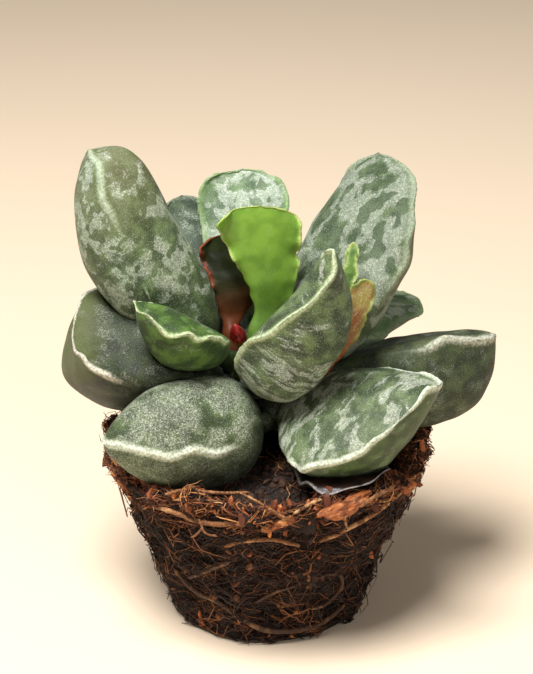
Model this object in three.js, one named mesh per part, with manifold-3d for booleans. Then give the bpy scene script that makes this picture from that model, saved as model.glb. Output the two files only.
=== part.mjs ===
// Plover eggs plant, Adromischus cooperi, with the bare coir root plug that it grows in.
// Millimetres, +Z up. The origin is the centre of the plug's flat underside. +X is to the right
// and -Y is towards the viewer when the plant is seen from its front.

import * as THREE from "three";
import { mergeVertices } from "three/addons/utils/BufferGeometryUtils.js";
import Module from "manifold-3d";

const wasm = await Module();
wasm.setup();

// Driving dimensions
const SEAT_GAP = 0.3; // clearance between two pieces that touch
const PLUG_HEIGHT = 28;
const RIM_RADIUS = 25;
const BASE_RADIUS = 14.5;
const WALL_FLARE = 1.25; // 1 would be a straight cone; above 1 the wall flares towards the rim
const LIP_WIDTH = 2.4; // round lip of the rim
const DISH_DEPTH = 6; // floor of the hollow on top of the plug, below the rim
const DISH_RADIUS = 18;
const SOIL_DEPTH = 3.4; // soil level below the rim
const SOIL_MOUND = 2.2; // how far the soil rises round the stem
const STEM = new THREE.Vector2(-2.5, 0); // the stem stands a little left of the plug's centre
const STEM_FOOT = 17; // height of the stem's foot inside the plug
const STEM_TOP = 41.5;
const STEM_RADIUS = [3.4, 2.4]; // at the soil and at the top
const STALK_RINGS = 3; // rings of each leaf's stalk
const CREASE_SHARPNESS = 0.45; // how much a section is pinched at its margins near the tip

// Finishes
const frosted = finish(0x75876c, 0.62);
const fresh = finish(0x86b24a, 0.48);
const reddish = finish(0x7d5a3c, 0.5);
const aged = finish(0x4b3640, 0.35);
const flesh = finish(0x9aa65c, 0.55);
const redTip = finish(0x9a2320, 0.4);
const coir = finish(0x7a4d2a, 0.95);
const soil = finish(0x2a1d15, 0.98);
const rootSkin = finish(0xb08a5c, 0.85);
const bark = finish(0xb06a2e, 0.8);

function finish(color, roughness) {
  return new THREE.MeshStandardMaterial({ color, roughness, metalness: 0 });
}

// What every leaf shares unless its own entry says otherwise. The upper face is the side that faces
// the stem. A pair is [right, left] for the margins, seen from above with the tip away from you,
// or [above, below] for the two faces.
const COMMON = {
  up: [0, 0, 1], // where the upper face looks, before the roll
  roll: 0, // degrees about the spine
  twist: 0, // further degrees of roll by the tip
  twistLag: 1, // above 1 the twist comes later
  bow: 0, // bend of the spine towards the upper face
  swing: 0, // bend of the spine towards the right margin
  width: [8, 8], // from the spine to each margin
  depth: [6, 7], // from the margins' plane to each face
  widest: 0.45, // share of the spine where the leaf is widest
  thickest: 0.42,
  shoulder: [1.8, 1.8], // how full each side is near the stalk
  fullness: 1.8, // how full the faces are near the stalk
  apex: [[2.2, 1.5], [2.2, 1.5]], // how blunt each side's outline is towards the tip
  wedge: [[1.7, 1.15], [1.7, 1.15]], // how blunt each face is towards the tip
  neck: 0.16, // share of the spine over which the stalk swells into the leaf
  stalk: 1.9, // radius of the stalk
  crease: 0.45, // share of the spine where the sharp margin starts
  ruffle: 0.6, // height of the margin's waves
  ruffles: 3,
  skew: 0, // how far the right margin runs behind the left one
  cup: 0, // hollow of the upper face
  lift: [0, 0], // how far each margin is drawn towards the upper face
  rings: 14,
  sides: 18,
};

// Leaves, from those that keep their whole shape to those that give way to them.
const LEAVES = [
  {
    name: "leaf_front_left", finish: frosted, base: [-1, -5, 32], tip: [-22.9, -17, 34.3],
    roll: 4, bow: -0.4, swing: 0.6, width: [7, 8.8], depth: [7.9, 8.6], shoulder: [2.8, 2.8],
    fullness: 2.8, apex: [[1.9, 1.4], [1.9, 1.4]], wedge: [[1.9, 1.3], [1.9, 1.3]],
    neck: 0.1, crease: 0.3, ruffle: 0.25,
  },
  {
    name: "leaf_centre", finish: frosted, base: [-1, -5, 38], tip: [8.9, -16, 62.6],
    roll: -17, twist: 90, twistLag: 2, width: [7.6, 4.8], depth: [2.4, 8.5], thickest: 0.4,
    shoulder: [2.4, 2.4], fullness: 2.4, apex: [[3.2, 1.9], [2.2, 1.6]],
    wedge: [[1.5, 1.05], [1.8, 1.15]], neck: 0.08, crease: 0.1, ruffle: 0.25,
  },
  {
    name: "leaf_front_right", finish: frosted, base: [2, -4.5, 33.6], tip: [17.4, -19.6, 38.3],
    roll: 33, bow: 0.2, width: [10.2, 11], depth: [3.2, 7], lift: [1.5, -2.8], widest: 0.64,
    thickest: 0.45, shoulder: [1.7, 1.9], fullness: 2.2, apex: [[2.6, 1.6], [4.2, 2]],
    wedge: [[1.6, 1.1], [2.4, 1.4]], skew: -0.35, crease: 0.4, ruffle: 0.2,
  },
  {
    name: "leaf_small_left", finish: frosted, base: [-6, -3, 41], tip: [-18.5, -10, 52.8],
    roll: 40, twist: -70, width: [2.4, 6.5], depth: [2.2, 5.4], lift: [0, 1], widest: 0.5,
    thickest: 0.45, shoulder: [1.9, 1.9], fullness: 1.9, apex: [[1.8, 1.3], [2.5, 1.6]],
    wedge: [[1.8, 1.2], [1.5, 1.1]], stalk: 1.5, crease: 0.2, ruffle: 0.2,
  },
  {
    name: "leaf_tall_left", finish: frosted, base: [-6.8, 2.5, 39.5], tip: [-25.4, 4, 70.1],
    roll: 24, twist: -10, bow: -2.8, width: [8.6, 6.9], depth: [7.8, 7], widest: 0.5, thickest: 0.48,
    shoulder: [2, 2], fullness: 2, apex: [[5.5, 2.4], [3, 1.8]],
    wedge: [[5.5, 2.6], [2, 1.2]], crease: 0.7,
  },
  {
    name: "leaf_tall_right", finish: frosted, base: [1, 3.5, 39], tip: [16.4, 14, 66.6],
    roll: 4, swing: 2.6, width: [13.4, 6.7], depth: [5, 7.6], lift: [1.4, 0], widest: 0.47,
    shoulder: [2.6, 1.6], fullness: 2.2, apex: [[2.5, 1.7], [2.8, 1.8]],
  },
  {
    name: "leaf_right", finish: frosted, base: [1.5, 1.5, 35], tip: [33.9, 6, 40.8],
    roll: -28, width: [8.5, 8], depth: [2.8, 11], widest: 0.5, thickest: 0.55,
    shoulder: [1.7, 1.7], fullness: 1.7, wedge: [[2, 1.3], [3.2, 1.7]], crease: 0.6,
  },
  {
    name: "leaf_left", finish: frosted, base: [-6, 2, 34.5], tip: [-27.7, -4, 45.6],
    roll: -36, width: [9.8, 8.5], depth: [6.5, 11.8], lift: [0, 3.8], widest: 0.65,
    apex: [[4.5, 2.2], [4.5, 2.2]], wedge: [[1.7, 1.15], [3.5, 2.2]], crease: 0.72,
  },
  {
    name: "young_leaf_bright", finish: fresh, base: [-1.3, 0.6, 43.5], tip: [-0.8, 0, 63.2],
    up: [0.15, -1, 0.2], width: [5.8, 6.3], depth: [1, 1.2], widest: 0.8,
    shoulder: [2.6, 0.82], fullness: 1.5, apex: [[2.4, 1.7], [5, 2.2]], stalk: 1.5, rings: 12,
  },
  {
    name: "young_leaf_red", finish: reddish, base: [-5.2, 1.5, 43], tip: [-6.9, 5, 56.9],
    up: [0.4, -1, 0.2], width: [7, 3.5], depth: [1, 1.2], widest: 0.7,
    shoulder: [1.4, 1.4], fullness: 1.4, apex: [[4, 2], [4, 2]], stalk: 1.4, rings: 10, sides: 14,
  },
  {
    name: "young_leaf_brown", finish: reddish, base: [8, -5.2, 40.2], tip: [14.6, -8.3, 55],
    up: [-0.1, -1, 0.3], bow: 1.2, swing: 0.7, width: [1.3, 2.6], depth: [0.8, 1.2],
    widest: 0.7, apex: [[2.2, 1.5], [5, 2.2]], stalk: 1.1, rings: 10, sides: 14,
  },
  {
    name: "young_leaf_sliver", finish: fresh, base: [3, -1.8, 43], tip: [12.1, -5.2, 59.7],
    up: [0, -1, 0.2], bow: 3.6, swing: 2.8, width: [1.1, 1], depth: [0.7, 0.9], widest: 0.8,
    apex: [[3.5, 2], [3.5, 2]], stalk: 1.1, rings: 10, sides: 14,
  },
  {
    name: "leaf_back_spoon", finish: frosted, base: [-3.5, 4.5, 41], tip: [-3.6, 15, 63.7],
    width: [6.5, 6.5], depth: [1.5, 4], widest: 0.75, shoulder: [1.4, 1.4], fullness: 1.4,
    apex: [[3.5, 2], [3.5, 2]], cup: 0.15, stalk: 1.6, rings: 12,
  },
  {
    name: "leaf_back_left", finish: frosted, base: [-5.5, 5, 38], tip: [-13.1, 22, 57.2],
    width: [7, 6], depth: [4, 5], widest: 0.55, apex: [[2.6, 1.8], [2.6, 1.8]], rings: 12, sides: 16,
  },
  {
    name: "leaf_back_right", finish: frosted, base: [1, 4.5, 37], tip: [23.2, 18, 42],
    width: [5.5, 5.5], depth: [3, 3.5], widest: 0.65, apex: [[3, 1.8], [3, 1.8]],
    rings: 12, sides: 16,
  },
  {
    name: "leaf_low_back", finish: frosted, base: [-1.5, 5, 34.5], tip: [2, 26, 37.5],
    width: [7, 7.5], depth: [4.5, 5.5], widest: 0.55, apex: [[2.6, 1.7], [2.6, 1.7]],
    rings: 12, sides: 16,
  },
  {
    name: "leaf_low_back_left", finish: frosted, base: [-6.5, 3.5, 34], tip: [-20, 20, 36],
    width: [7, 7], depth: [4.5, 6], widest: 0.55, apex: [[2.6, 1.7], [2.6, 1.7]],
    rings: 12, sides: 16,
  },
  {
    name: "old_leaf_dark", finish: aged, base: [5.5, -7, 28.3], tip: [13, -20.4, 29.4],
    width: [6.2, 7], depth: [1, 2.6], widest: 0.7, apex: [[2.4, 1.7], [2.4, 1.7]],
    stalk: 1.2, crease: 0.25, rings: 12, sides: 16,
  },
];

// Roots and loose coir that lie on the plug's wall and rim. Each point is [bearing, height]:
// degrees about the plug's axis from +X, and millimetres above the underside.
const ROOTS = [
  {
    name: "root_circling", radius: 0.75,
    path: [[221, 11.6], [231, 8.6], [246, 7.4], [258, 4.8], [268, 3], [283, 2.4], [300, 2.6], [316, 4.6]],
  },
  { name: "root_left_pale", radius: 0.55, path: [[230, 10.8], [238, 12.4], [246, 14.6], [255, 16.8]] },
  {
    name: "root_right_loop", radius: 0.5,
    path: [[288, 11], [296, 13], [306, 11.6], [309, 8.6], [302, 6.4], [293, 6.2]],
  },
  { name: "root_middle", radius: 0.45, path: [[264, 8.4], [273, 10.6], [283, 11.8]] },
  {
    name: "root_back_long", radius: 0.6,
    path: [[40, 4], [56, 3.6], [72, 4], [88, 5.6], [104, 8], [120, 9.4], [136, 9.4], [150, 7.6]],
  },
  { name: "root_back_rising", radius: 0.5, path: [[96, 12], [102, 15.4], [112, 18], [126, 19.6]] },
  { name: "root_left_side", radius: 0.5, path: [[168, 5], [178, 8.4], [186, 12.6], [198, 15]] },
  { name: "root_right_side", radius: 0.55, path: [[344, 6], [356, 9], [370, 10.6], [384, 14.4]] },
];

const COIR_STRANDS = [
  { name: "coir_strand_front", radius: 0.35, path: [[226, 24.6], [238, 25], [250, 24.4], [262, 25.2]] },
  { name: "coir_strand_middle", radius: 0.3, path: [[254, 20], [262, 21.6], [272, 22], [282, 20.4]] },
  { name: "coir_strand_right", radius: 0.35, path: [[290, 20.6], [300, 22.2], [311, 23.6], [322, 25.4]] },
];

// Bark chips caught in the coir, half sunk in it. Each lies from one end to the other, with its flat
// side looking along facing.
const BARK_CHIPS = [
  {
    name: "bark_chip_front", from: [7.2, -24, 26.5], to: [14.4, -19.2, 27.5],
    facing: [0.35, -0.7, 0.6], width: 2.6, thickness: 1.4,
  },
  {
    name: "bark_chip_middle", from: [-1, -22.8, 23.6], to: [3.8, -23.9, 26.1],
    facing: [0.05, -1, -0.35], width: 1.7, thickness: 1,
  },
  {
    name: "bark_chip_right", from: [20.4, -10.4, 23.4], to: [21.6, -6.6, 22.4],
    facing: [0.9, -0.35, -0.3], width: 1.8, thickness: 1,
  },
  {
    name: "bark_chip_back", from: [2.2, 22.8, 23.2], to: [-4, 23, 24.8],
    facing: [0, 1, -0.3], width: 2.2, thickness: 1.2,
  },
  {
    name: "bark_chip_left", from: [-20.3, -11.4, 24], to: [-22.7, -7.6, 25.9],
    facing: [-0.9, -0.4, -0.3], width: 1.8, thickness: 1,
  },
];

const radians = THREE.MathUtils.degToRad;
const clamp01 = (x) => THREE.MathUtils.clamp(x, 0, 1);
const smooth = (from, to, x) => THREE.MathUtils.smoothstep(x, from, to);

// A closed three.js geometry as a solid.
function solidOf(geometry) {
  const bare = geometry.clone();
  bare.deleteAttribute("normal");
  bare.deleteAttribute("uv");
  const merged = mergeVertices(bare, 1e-4);
  const corners = merged.index.array;
  const triVerts = [];
  for (let i = 0; i < corners.length; i += 3) {
    const [a, b, c] = corners.slice(i, i + 3);
    if (a !== b && b !== c && c !== a) triVerts.push(a, b, c);
  }
  const mesh = new wasm.Mesh({
    numProp: 3,
    vertProperties: merged.attributes.position.array,
    triVerts: Uint32Array.from(triVerts),
  });
  return new wasm.Manifold(mesh);
}

// A solid as a named mesh. A cut can leave crumbs, so only its largest body is kept.
function meshOf(name, solid, material) {
  const bodies = solid.decompose();
  bodies.sort((a, b) => b.volume() - a.volume());
  const { vertProperties, triVerts } = bodies[0].getMesh();
  const geometry = new THREE.BufferGeometry();
  geometry.setAttribute("position", new THREE.BufferAttribute(vertProperties, 3));
  geometry.setIndex(new THREE.BufferAttribute(triVerts, 1));
  geometry.computeVertexNormals();
  const mesh = new THREE.Mesh(geometry, material);
  mesh.name = name;
  return mesh;
}

function turned(points, segments) {
  const profile = points.map(([radius, height]) => new THREE.Vector2(radius, height));
  return new THREE.LatheGeometry(profile, segments).rotateX(Math.PI / 2);
}

// Plug, soil and stem

function wallRadius(height) {
  const share = clamp01(height / PLUG_HEIGHT);
  return BASE_RADIUS + (RIM_RADIUS - BASE_RADIUS) * share ** WALL_FLARE;
}

function plugSolid() {
  const points = [[0, 0], [BASE_RADIUS - 0.8, 0]];
  const lipStart = PLUG_HEIGHT - LIP_WIDTH / 2;
  for (const share of [0.03, 0.2, 0.4, 0.6, 0.8, 1]) {
    points.push([wallRadius(lipStart * share), lipStart * share]);
  }
  const lipCentre = wallRadius(lipStart) - LIP_WIDTH / 2;
  for (const turn of [40, 90, 140]) {
    const reach = LIP_WIDTH / 2;
    points.push([
      lipCentre + reach * Math.cos(radians(turn)),
      lipStart + reach * Math.sin(radians(turn)),
    ]);
  }
  const floor = PLUG_HEIGHT - DISH_DEPTH;
  points.push([DISH_RADIUS, floor], [0, floor]);
  return solidOf(turned(points, 48));
}

function soilSolid() {
  const floor = PLUG_HEIGHT - DISH_DEPTH + SEAT_GAP;
  const level = PLUG_HEIGHT - SOIL_DEPTH;
  const rise = (level - floor) * 0.7; // the dish's wall leans out, so the soil is wider on top
  const points = [[0, floor], [DISH_RADIUS - 0.4, floor], [DISH_RADIUS - 0.4 + rise, level]];
  points.push([DISH_RADIUS * 0.7, level + 0.2], [DISH_RADIUS * 0.45, level + SOIL_MOUND * 0.5]);
  points.push([0, level + SOIL_MOUND]);
  return solidOf(turned(points, 40));
}

function stemGeometry(proud) {
  const level = PLUG_HEIGHT - SOIL_DEPTH;
  const [thick, thin] = STEM_RADIUS;
  const points = [
    [0, STEM_FOOT - proud],
    [thick * 0.55 + proud, STEM_FOOT - proud],
    [thick + proud, level],
    [thick * 0.94 + proud, level + (STEM_TOP - level) * 0.5],
    [thin + proud, STEM_TOP - 1],
    [thin * 0.6 + proud, STEM_TOP + proud],
    [0, STEM_TOP + 0.3 + proud],
  ];
  return turned(points, 24).translate(STEM.x, STEM.y, 0);
}

// The growing bud: a small pointed drop at the stem's top, leaning to the front left.
function budSolid(proud = 0) {
  const points = [
    [0, -proud],
    [1.1 + proud, -proud],
    [1.5 + proud, 1.3],
    [1.2 + proud, 2.7],
    [0.5 + proud, 3.7 + proud],
    [0, 4.1 + proud],
  ];
  const drop = turned(points, 14);
  drop.rotateX(radians(12));
  drop.rotateY(radians(-14));
  return solidOf(drop.translate(STEM.x - 1.2, STEM.y - 1.5, STEM_TOP + SEAT_GAP + 0.5));
}

// Leaves

// 0 to 1 along the spine, with its peak of 1 at the share called peak.
function swell(t, peak, full, [blunt, round]) {
  if (t < peak) return (1 - (1 - t / peak) ** full) ** (1 / full);
  return (1 - clamp01((t - peak) / (1 - peak)) ** blunt) ** (1 / round);
}

// The spine of a leaf, with the directions of its upper face and right margin.
function spineOf(leaf) {
  const base = new THREE.Vector3(...leaf.base);
  const tip = new THREE.Vector3(...leaf.tip);
  const along = tip.clone().sub(base).normalize();
  const upper = new THREE.Vector3(...leaf.up);
  upper.addScaledVector(along, -upper.dot(along)).normalize();
  upper.applyAxisAngle(along, radians(leaf.roll));
  const right = new THREE.Vector3().crossVectors(along, upper);
  const middle = base.clone().add(tip).multiplyScalar(0.5);
  middle.addScaledVector(upper, 2 * leaf.bow).addScaledVector(right, 2 * leaf.swing);
  const blade = new THREE.QuadraticBezierCurve3(base, middle, tip);
  const start = blade.getTangent(0);
  const joint = new THREE.Vector3(STEM.x, STEM.y, Math.min(base.z - 0.5, STEM_TOP - 1.5));
  const reach = joint.distanceTo(base) / 2;
  const knee = base.clone().addScaledVector(start, -reach);
  const stalk = new THREE.QuadraticBezierCurve3(joint, knee, base);
  return { blade, stalk, upper };
}

// A point of the leaf's skin. t runs from -1 at the stem, over 0 where the blade starts, to 1 at the
// tip. angle runs round the section from the right margin over the upper face.
function skinPoint(leaf, spine, t, angle, proud) {
  const curve = t < 0 ? spine.stalk : spine.blade;
  const share = t < 0 ? 1 + t : t;
  const place = curve.getPoint(share);
  const along = curve.getTangent(share);
  const upper = spine.upper.clone();
  upper.addScaledVector(along, -upper.dot(along)).normalize();
  upper.applyAxisAngle(along, radians(leaf.twist) * clamp01(t) ** leaf.twistLag);
  const right = new THREE.Vector3().crossVectors(along, upper);
  const across = Math.cos(angle);
  const rise = Math.sin(angle);
  const side = across >= 0 ? 0 : 1;
  const face = rise >= 0 ? 0 : 1;
  const body = clamp01((clamp01(t) - 0.35 * leaf.neck) / (1 - 0.35 * leaf.neck));
  const root = leaf.stalk * (1 - smooth(0, 1.6 * leaf.neck, t));
  const outline = swell(body, leaf.widest, leaf.shoulder[side], leaf.apex[side]);
  const fill = swell(body, leaf.thickest, leaf.fullness, leaf.wedge[face]);
  const halfWidth = Math.hypot(leaf.width[side] * outline, root) + proud;
  const halfDepth = Math.hypot(leaf.depth[face] * fill, root) + proud;
  const sharpness = 1 + CREASE_SHARPNESS * smooth(leaf.crease - 0.15, leaf.crease + 0.35, t);
  const x = halfWidth * across;
  let y = halfDepth * Math.sign(rise) * Math.abs(rise) ** sharpness;
  const onMargin = Math.abs(across) ** 6 * smooth(leaf.crease - 0.12, leaf.crease + 0.2, t);
  const fade = clamp01((1 - t) / 0.03);
  y += leaf.ruffle * Math.sin(2 * Math.PI * leaf.ruffles * t * Math.sign(across)) * onMargin * fade;
  y += (leaf.cup * x * x) / Math.max(...leaf.width);
  y += leaf.lift[side] * (x / leaf.width[side]) ** 2;
  place.addScaledVector(along, leaf.skew * x * smooth(0.25, 1, t));
  return place.addScaledVector(right, x).addScaledVector(upper, y);
}

// Where a ring lies along the leaf, as skinPoint counts it. The blade's rings lie closer together at
// both of its ends.
function ringPlace(ring, rings) {
  if (ring < STALK_RINGS) return ring / STALK_RINGS - 1;
  const share = (ring - STALK_RINGS) / rings;
  return 0.35 * share + 0.65 * (0.5 - 0.5 * Math.cos(Math.PI * share));
}

// A sphere with its poles at the stem and at the tip, and its rings spread along the stalk and blade.
function leafSolid(leaf, proud = 0) {
  const { rings, sides } = leaf;
  const lastRing = STALK_RINGS + rings;
  const spine = spineOf(leaf);
  const foot = spine.stalk.getPoint(0);
  const top = spine.blade.getPoint(1).addScaledVector(spine.blade.getTangent(1), proud);
  const geometry = new THREE.SphereGeometry(1, sides, lastRing);
  const position = geometry.attributes.position;
  for (let i = 0; i < position.count; i++) {
    const ring = Math.floor(i / (sides + 1));
    const angle = (2 * Math.PI * (i % (sides + 1))) / sides;
    const onSkin = ring > 0 && ring < lastRing;
    const pole = ring === 0 ? foot : top;
    const point = onSkin ? skinPoint(leaf, spine, ringPlace(ring, rings), angle, proud) : pole;
    position.setXYZ(i, point.x, point.y, point.z);
  }
  return solidOf(geometry);
}

// Roots and bark

// A point just outside the plug's wall, clear of it by a gap.
function onWall([bearing, height], clear) {
  const radius = wallRadius(height) + clear;
  const turn = radians(bearing);
  return new THREE.Vector3(radius * Math.cos(turn), radius * Math.sin(turn), height);
}

function strandSolid({ radius, path }) {
  const curve = new THREE.CatmullRomCurve3(path.map((place) => onWall(place, radius + SEAT_GAP)));
  const section = new THREE.Shape().absarc(0, 0, radius, 0, 2 * Math.PI, false);
  const geometry = new THREE.ExtrudeGeometry(section, {
    steps: 3 * path.length,
    curveSegments: 3,
    extrudePath: curve,
  });
  return solidOf(geometry);
}

// A chip is a flat lens with blunt ends.
function chipSolid({ from, to, facing, width, thickness }, proud = 0) {
  const start = new THREE.Vector3(...from);
  const end = new THREE.Vector3(...to);
  const half = start.distanceTo(end) / 2 + proud;
  const wide = width + 2 * proud;
  const thick = thickness + 2 * proud;
  const outline = new THREE.Shape();
  outline.moveTo(-half, 0);
  outline.bezierCurveTo(-half, wide * 0.6, half * 0.4, wide * 0.7, half, wide * 0.2);
  outline.bezierCurveTo(half, -wide * 0.5, -half * 0.2, -wide * 0.7, -half, 0);
  const geometry = new THREE.ExtrudeGeometry(outline, {
    depth: thick * 0.5,
    bevelThickness: thick * 0.25,
    bevelSize: thick * 0.2,
    bevelOffset: -thick * 0.2,
    bevelSegments: 1,
    curveSegments: 5,
  });
  const along = end.clone().sub(start).normalize();
  const face = new THREE.Vector3(...facing);
  face.addScaledVector(along, -face.dot(along)).normalize();
  const across = new THREE.Vector3().crossVectors(face, along);
  const place = new THREE.Matrix4().makeBasis(along, across, face);
  place.setPosition(start.add(end).multiplyScalar(0.5));
  return solidOf(geometry.translate(0, 0, -thick * 0.25).applyMatrix4(place));
}

// The whole plant. A piece gives way to the settled ones before it, with the seat gap between them.

const plant = new THREE.Group();
const settled = [];

function settle(name, solid, fattened, material) {
  const room = settled.reduce((left, other) => left.subtract(other), solid);
  plant.add(meshOf(name, room, material));
  settled.push(fattened);
}

settle("stem", solidOf(stemGeometry(0)), solidOf(stemGeometry(SEAT_GAP)), flesh);
settle("growing_bud", budSolid(), budSolid(SEAT_GAP), redTip);
for (const entry of LEAVES) {
  const leaf = { ...COMMON, ...entry };
  settle(leaf.name, leafSolid(leaf), leafSolid(leaf, SEAT_GAP), leaf.finish);
}
for (const chip of BARK_CHIPS) {
  settle(chip.name, chipSolid(chip), chipSolid(chip, SEAT_GAP), bark);
}
settle("potting_soil", soilSolid(), soilSolid(), soil);
settle("root_plug", plugSolid(), plugSolid(), coir);
for (const strand of ROOTS) {
  const solid = strandSolid(strand);
  settle(strand.name, solid, solid, rootSkin);
}
for (const strand of COIR_STRANDS) {
  const solid = strandSolid(strand);
  settle(strand.name, solid, solid, coir);
}
export default plant;
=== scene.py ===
import math

import bpy
import numpy as np
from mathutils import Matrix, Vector
from mathutils.bvhtree import BVHTree


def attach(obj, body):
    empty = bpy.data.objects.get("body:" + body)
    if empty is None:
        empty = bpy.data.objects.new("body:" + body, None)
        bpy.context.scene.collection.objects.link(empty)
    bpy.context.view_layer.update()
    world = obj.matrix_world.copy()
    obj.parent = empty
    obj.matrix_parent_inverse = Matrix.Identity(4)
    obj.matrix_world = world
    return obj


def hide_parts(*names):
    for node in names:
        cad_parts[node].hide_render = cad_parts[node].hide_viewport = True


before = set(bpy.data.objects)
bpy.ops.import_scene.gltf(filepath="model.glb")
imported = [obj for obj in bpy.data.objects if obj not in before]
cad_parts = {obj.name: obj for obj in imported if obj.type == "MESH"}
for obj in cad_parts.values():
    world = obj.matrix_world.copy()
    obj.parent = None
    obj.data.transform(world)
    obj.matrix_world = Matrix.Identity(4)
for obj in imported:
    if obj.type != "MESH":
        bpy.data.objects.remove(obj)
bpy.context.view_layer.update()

# Plover eggs plant in its bare coir plug. Shapes are worked out in millimetres and written to the
# meshes in metres. +Z is up, -Y is towards the viewer, the origin is under the plug's centre.
MM = 0.001

# Driving sizes of the plug, the soil and the stem, the same as the solid model's
PLUG_HEIGHT = 28.0
RIM_RADIUS = 25.0
BASE_RADIUS = 14.5
WALL_FLARE = 1.25
LIP_WIDTH = 2.4
DISH_DEPTH = 6.0
DISH_RADIUS = 18.0
DISH_FLOOR = PLUG_HEIGHT - DISH_DEPTH
SOIL_LEVEL = 24.6
SOIL_MOUND = 2.2
STEM_PLACE = np.array([-2.5, 0.0])
STEM_FOOT = 17.5
STEM_TOP = 41.5
STEM_THICK = 3.4
STEM_THIN = 2.4
SCAR_STEP = 2.6
SCAR_DEPTH = 0.16
BUD_HEIGHT = 4.1
BUD_RADIUS = 1.2

# How every leaf is shaped, also the same
CREASE_SHARPNESS = 0.45
OUTLINE_START = 0.35  # the outline starts this far along the neck
STALK_END = 1.6  # and the stalk has faded out this far along it
MARGIN_FOCUS = 6  # the higher, the nearer the waves keep to the margin
TIP_SPAN = 0.03  # share of the spine over which the waves die out

# What only the visual model has
SKIN_CLEARANCE = 0.12  # between two leaves that press on each other
PUSH_REACH = 7.0  # a leaf gives way only to skin nearer than this
PUSH_ROUNDS = 4  # how often a thin blade is pushed
RING_REACH = 9  # how many rings of a thin blade share one push
FOLD_FOCUS = 5
TIP_EASE = 0.96  # the margin comes to rest from this share of the spine on
RIM_SPREAD = 1.7  # reach of the pale margin's colour, in widths of its bead
WAVES = 14  # waves that are added up for an uneven skin
WAVE_HEIGHT = 4.2
ROOT_THIN = 0.5  # a root is seen thinner than its solid
ROOT_CLEAR = 0.4  # and lies this share of its radius clear of the wall
STRAND_CLEAR = 0.9
STRAND_SIDES = 12
STRAND_UNEVEN = 0.16
STRAND_DOME = 0.4  # how far a strand's end swells out, in radii
STRAND_TAPER = 1.2  # steps over which it thins at its ends
CHIP_CREASE = 0.17
LIP_FROM = 23.8  # height where the bright fibres of the lip begin
LIP_OVERLAP = 6  # rings of the lip that the wall's fibres cover too
REACH_LIMIT = 25.0  # fibres past this distance from the axis are drawn in
DRAWN_IN = 0.85  # by this share of what is beyond
LIGHT_AIM = Vector((0, 0, 0.035))  # in metres

# painted shade: a cooler, darker tint for the leaves' undersides
UNDER_SHADE_TINT = (0.88, 0.95, 0.98, 1.0)
# painted shade: a darker foot for grown leaves, near the stalk
FOOT_PAINTED_SHADE = (0.3, 0.34, 0.26, 1.0)
UNDERSIDE = (0.3, 0.62)  # where the upper face fades into the underside


def paint(red, green, blue):
    """A colour as a paint chart gives it, 0 to 255, in the linear form that shaders use."""
    chart = np.array([red, green, blue]) / 255.0
    linear = np.where(chart > 0.04045, ((chart + 0.055) / 1.055) ** 2.4, chart / 12.92)
    return (*(float(c) for c in linear), 1.0)


# Leaves. A pair is [right, left] for the margins, seen from above with the tip away from you, or
# [above, below] for the two faces.
COMMON_LEAF = dict(
    kind="big",
    slot="leaf_frosted",
    up=(0, 0, 1),  # where the upper face looks, before the roll
    roll=0,  # degrees about the spine
    twist=0,  # further degrees by the tip
    twist_lag=1,  # above 1 the twist comes later
    bow=0,  # bend of the spine towards the upper face
    swing=0,  # bend of the spine towards the right margin
    width=(8, 8),  # from the spine to each margin
    depth=(6, 7),  # from the margins' plane to each face
    widest=0.45,
    thickest=0.42,
    shoulder=(1.8, 1.8),  # how full each side is near the stalk
    fullness=1.8,
    apex=((2.2, 1.5), (2.2, 1.5)),  # how blunt each side's outline is
    wedge=((1.7, 1.15), (1.7, 1.15)),  # how blunt each face is
    neck=0.16,
    stalk=1.9,
    crease=0.45,  # share of the spine where the sharp margin starts
    ruffle=0.6,
    ruffles=3,
    skew=0,
    cup=0,
    lift=(0, 0),  # how far each margin is drawn towards the upper face
    rings=104,
    sides=120,
    gather=0.65,  # how much the mesh gathers at the margins
    undulation=0.16,  # height of the gentle lumps of the faces
    bead=0.2,  # height of the raised margin
    bead_width=0.5,
    waver=0.3,  # how far the raised margin strays up and down
    waver_size=4.5,
    crinkle=0.0,  # fine folds of a thin leaf's margin
    crinkle_size=2.4,
    stretch=(1, 1, 1),  # how drawn out the patches are across, through and along the leaf
    spots=0.4,
    under=1.0,  # share of the frost on the leaf's underside
    rim_share=0.95,  # how plainly the margin shows
    veil=0.35,  # even grey between the wax strokes
    foot_patches=0.0,  # more patches towards the stalk
    blush=(110, 100, 70),
    blush_from=0.6,
    blush_to=1.0,
    blush_amount=0.0,
    bare=0.56,  # roughness of the skin between the wax
    waxed=0.78,
    glow=0.08,  # how much light passes through
    shine=0.3,
    sheen=0.05,
)

# What the leaves of a kind share
KINDS = dict(
    big=dict(),
    back=dict(rings=76, sides=88),
    young=dict(
        slot="leaf_young", stalk=1.1, rings=84, sides=72, gather=0.3, undulation=0.1, bead=0.14,
        bead_width=0.34, waver=0.1, crinkle=0.3, crinkle_size=1.8, spots=0.2, patches=0.3,
        patch_size=3.0, bare=0.36, waxed=0.55, glow=0.3, sheen=0.0,
    ),
    old=dict(
        slot="leaf_old", rings=76, sides=84, gather=0.3, bare=0.3, waxed=0.42, shine=0.36, sheen=0.0,
    ),
)

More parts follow.
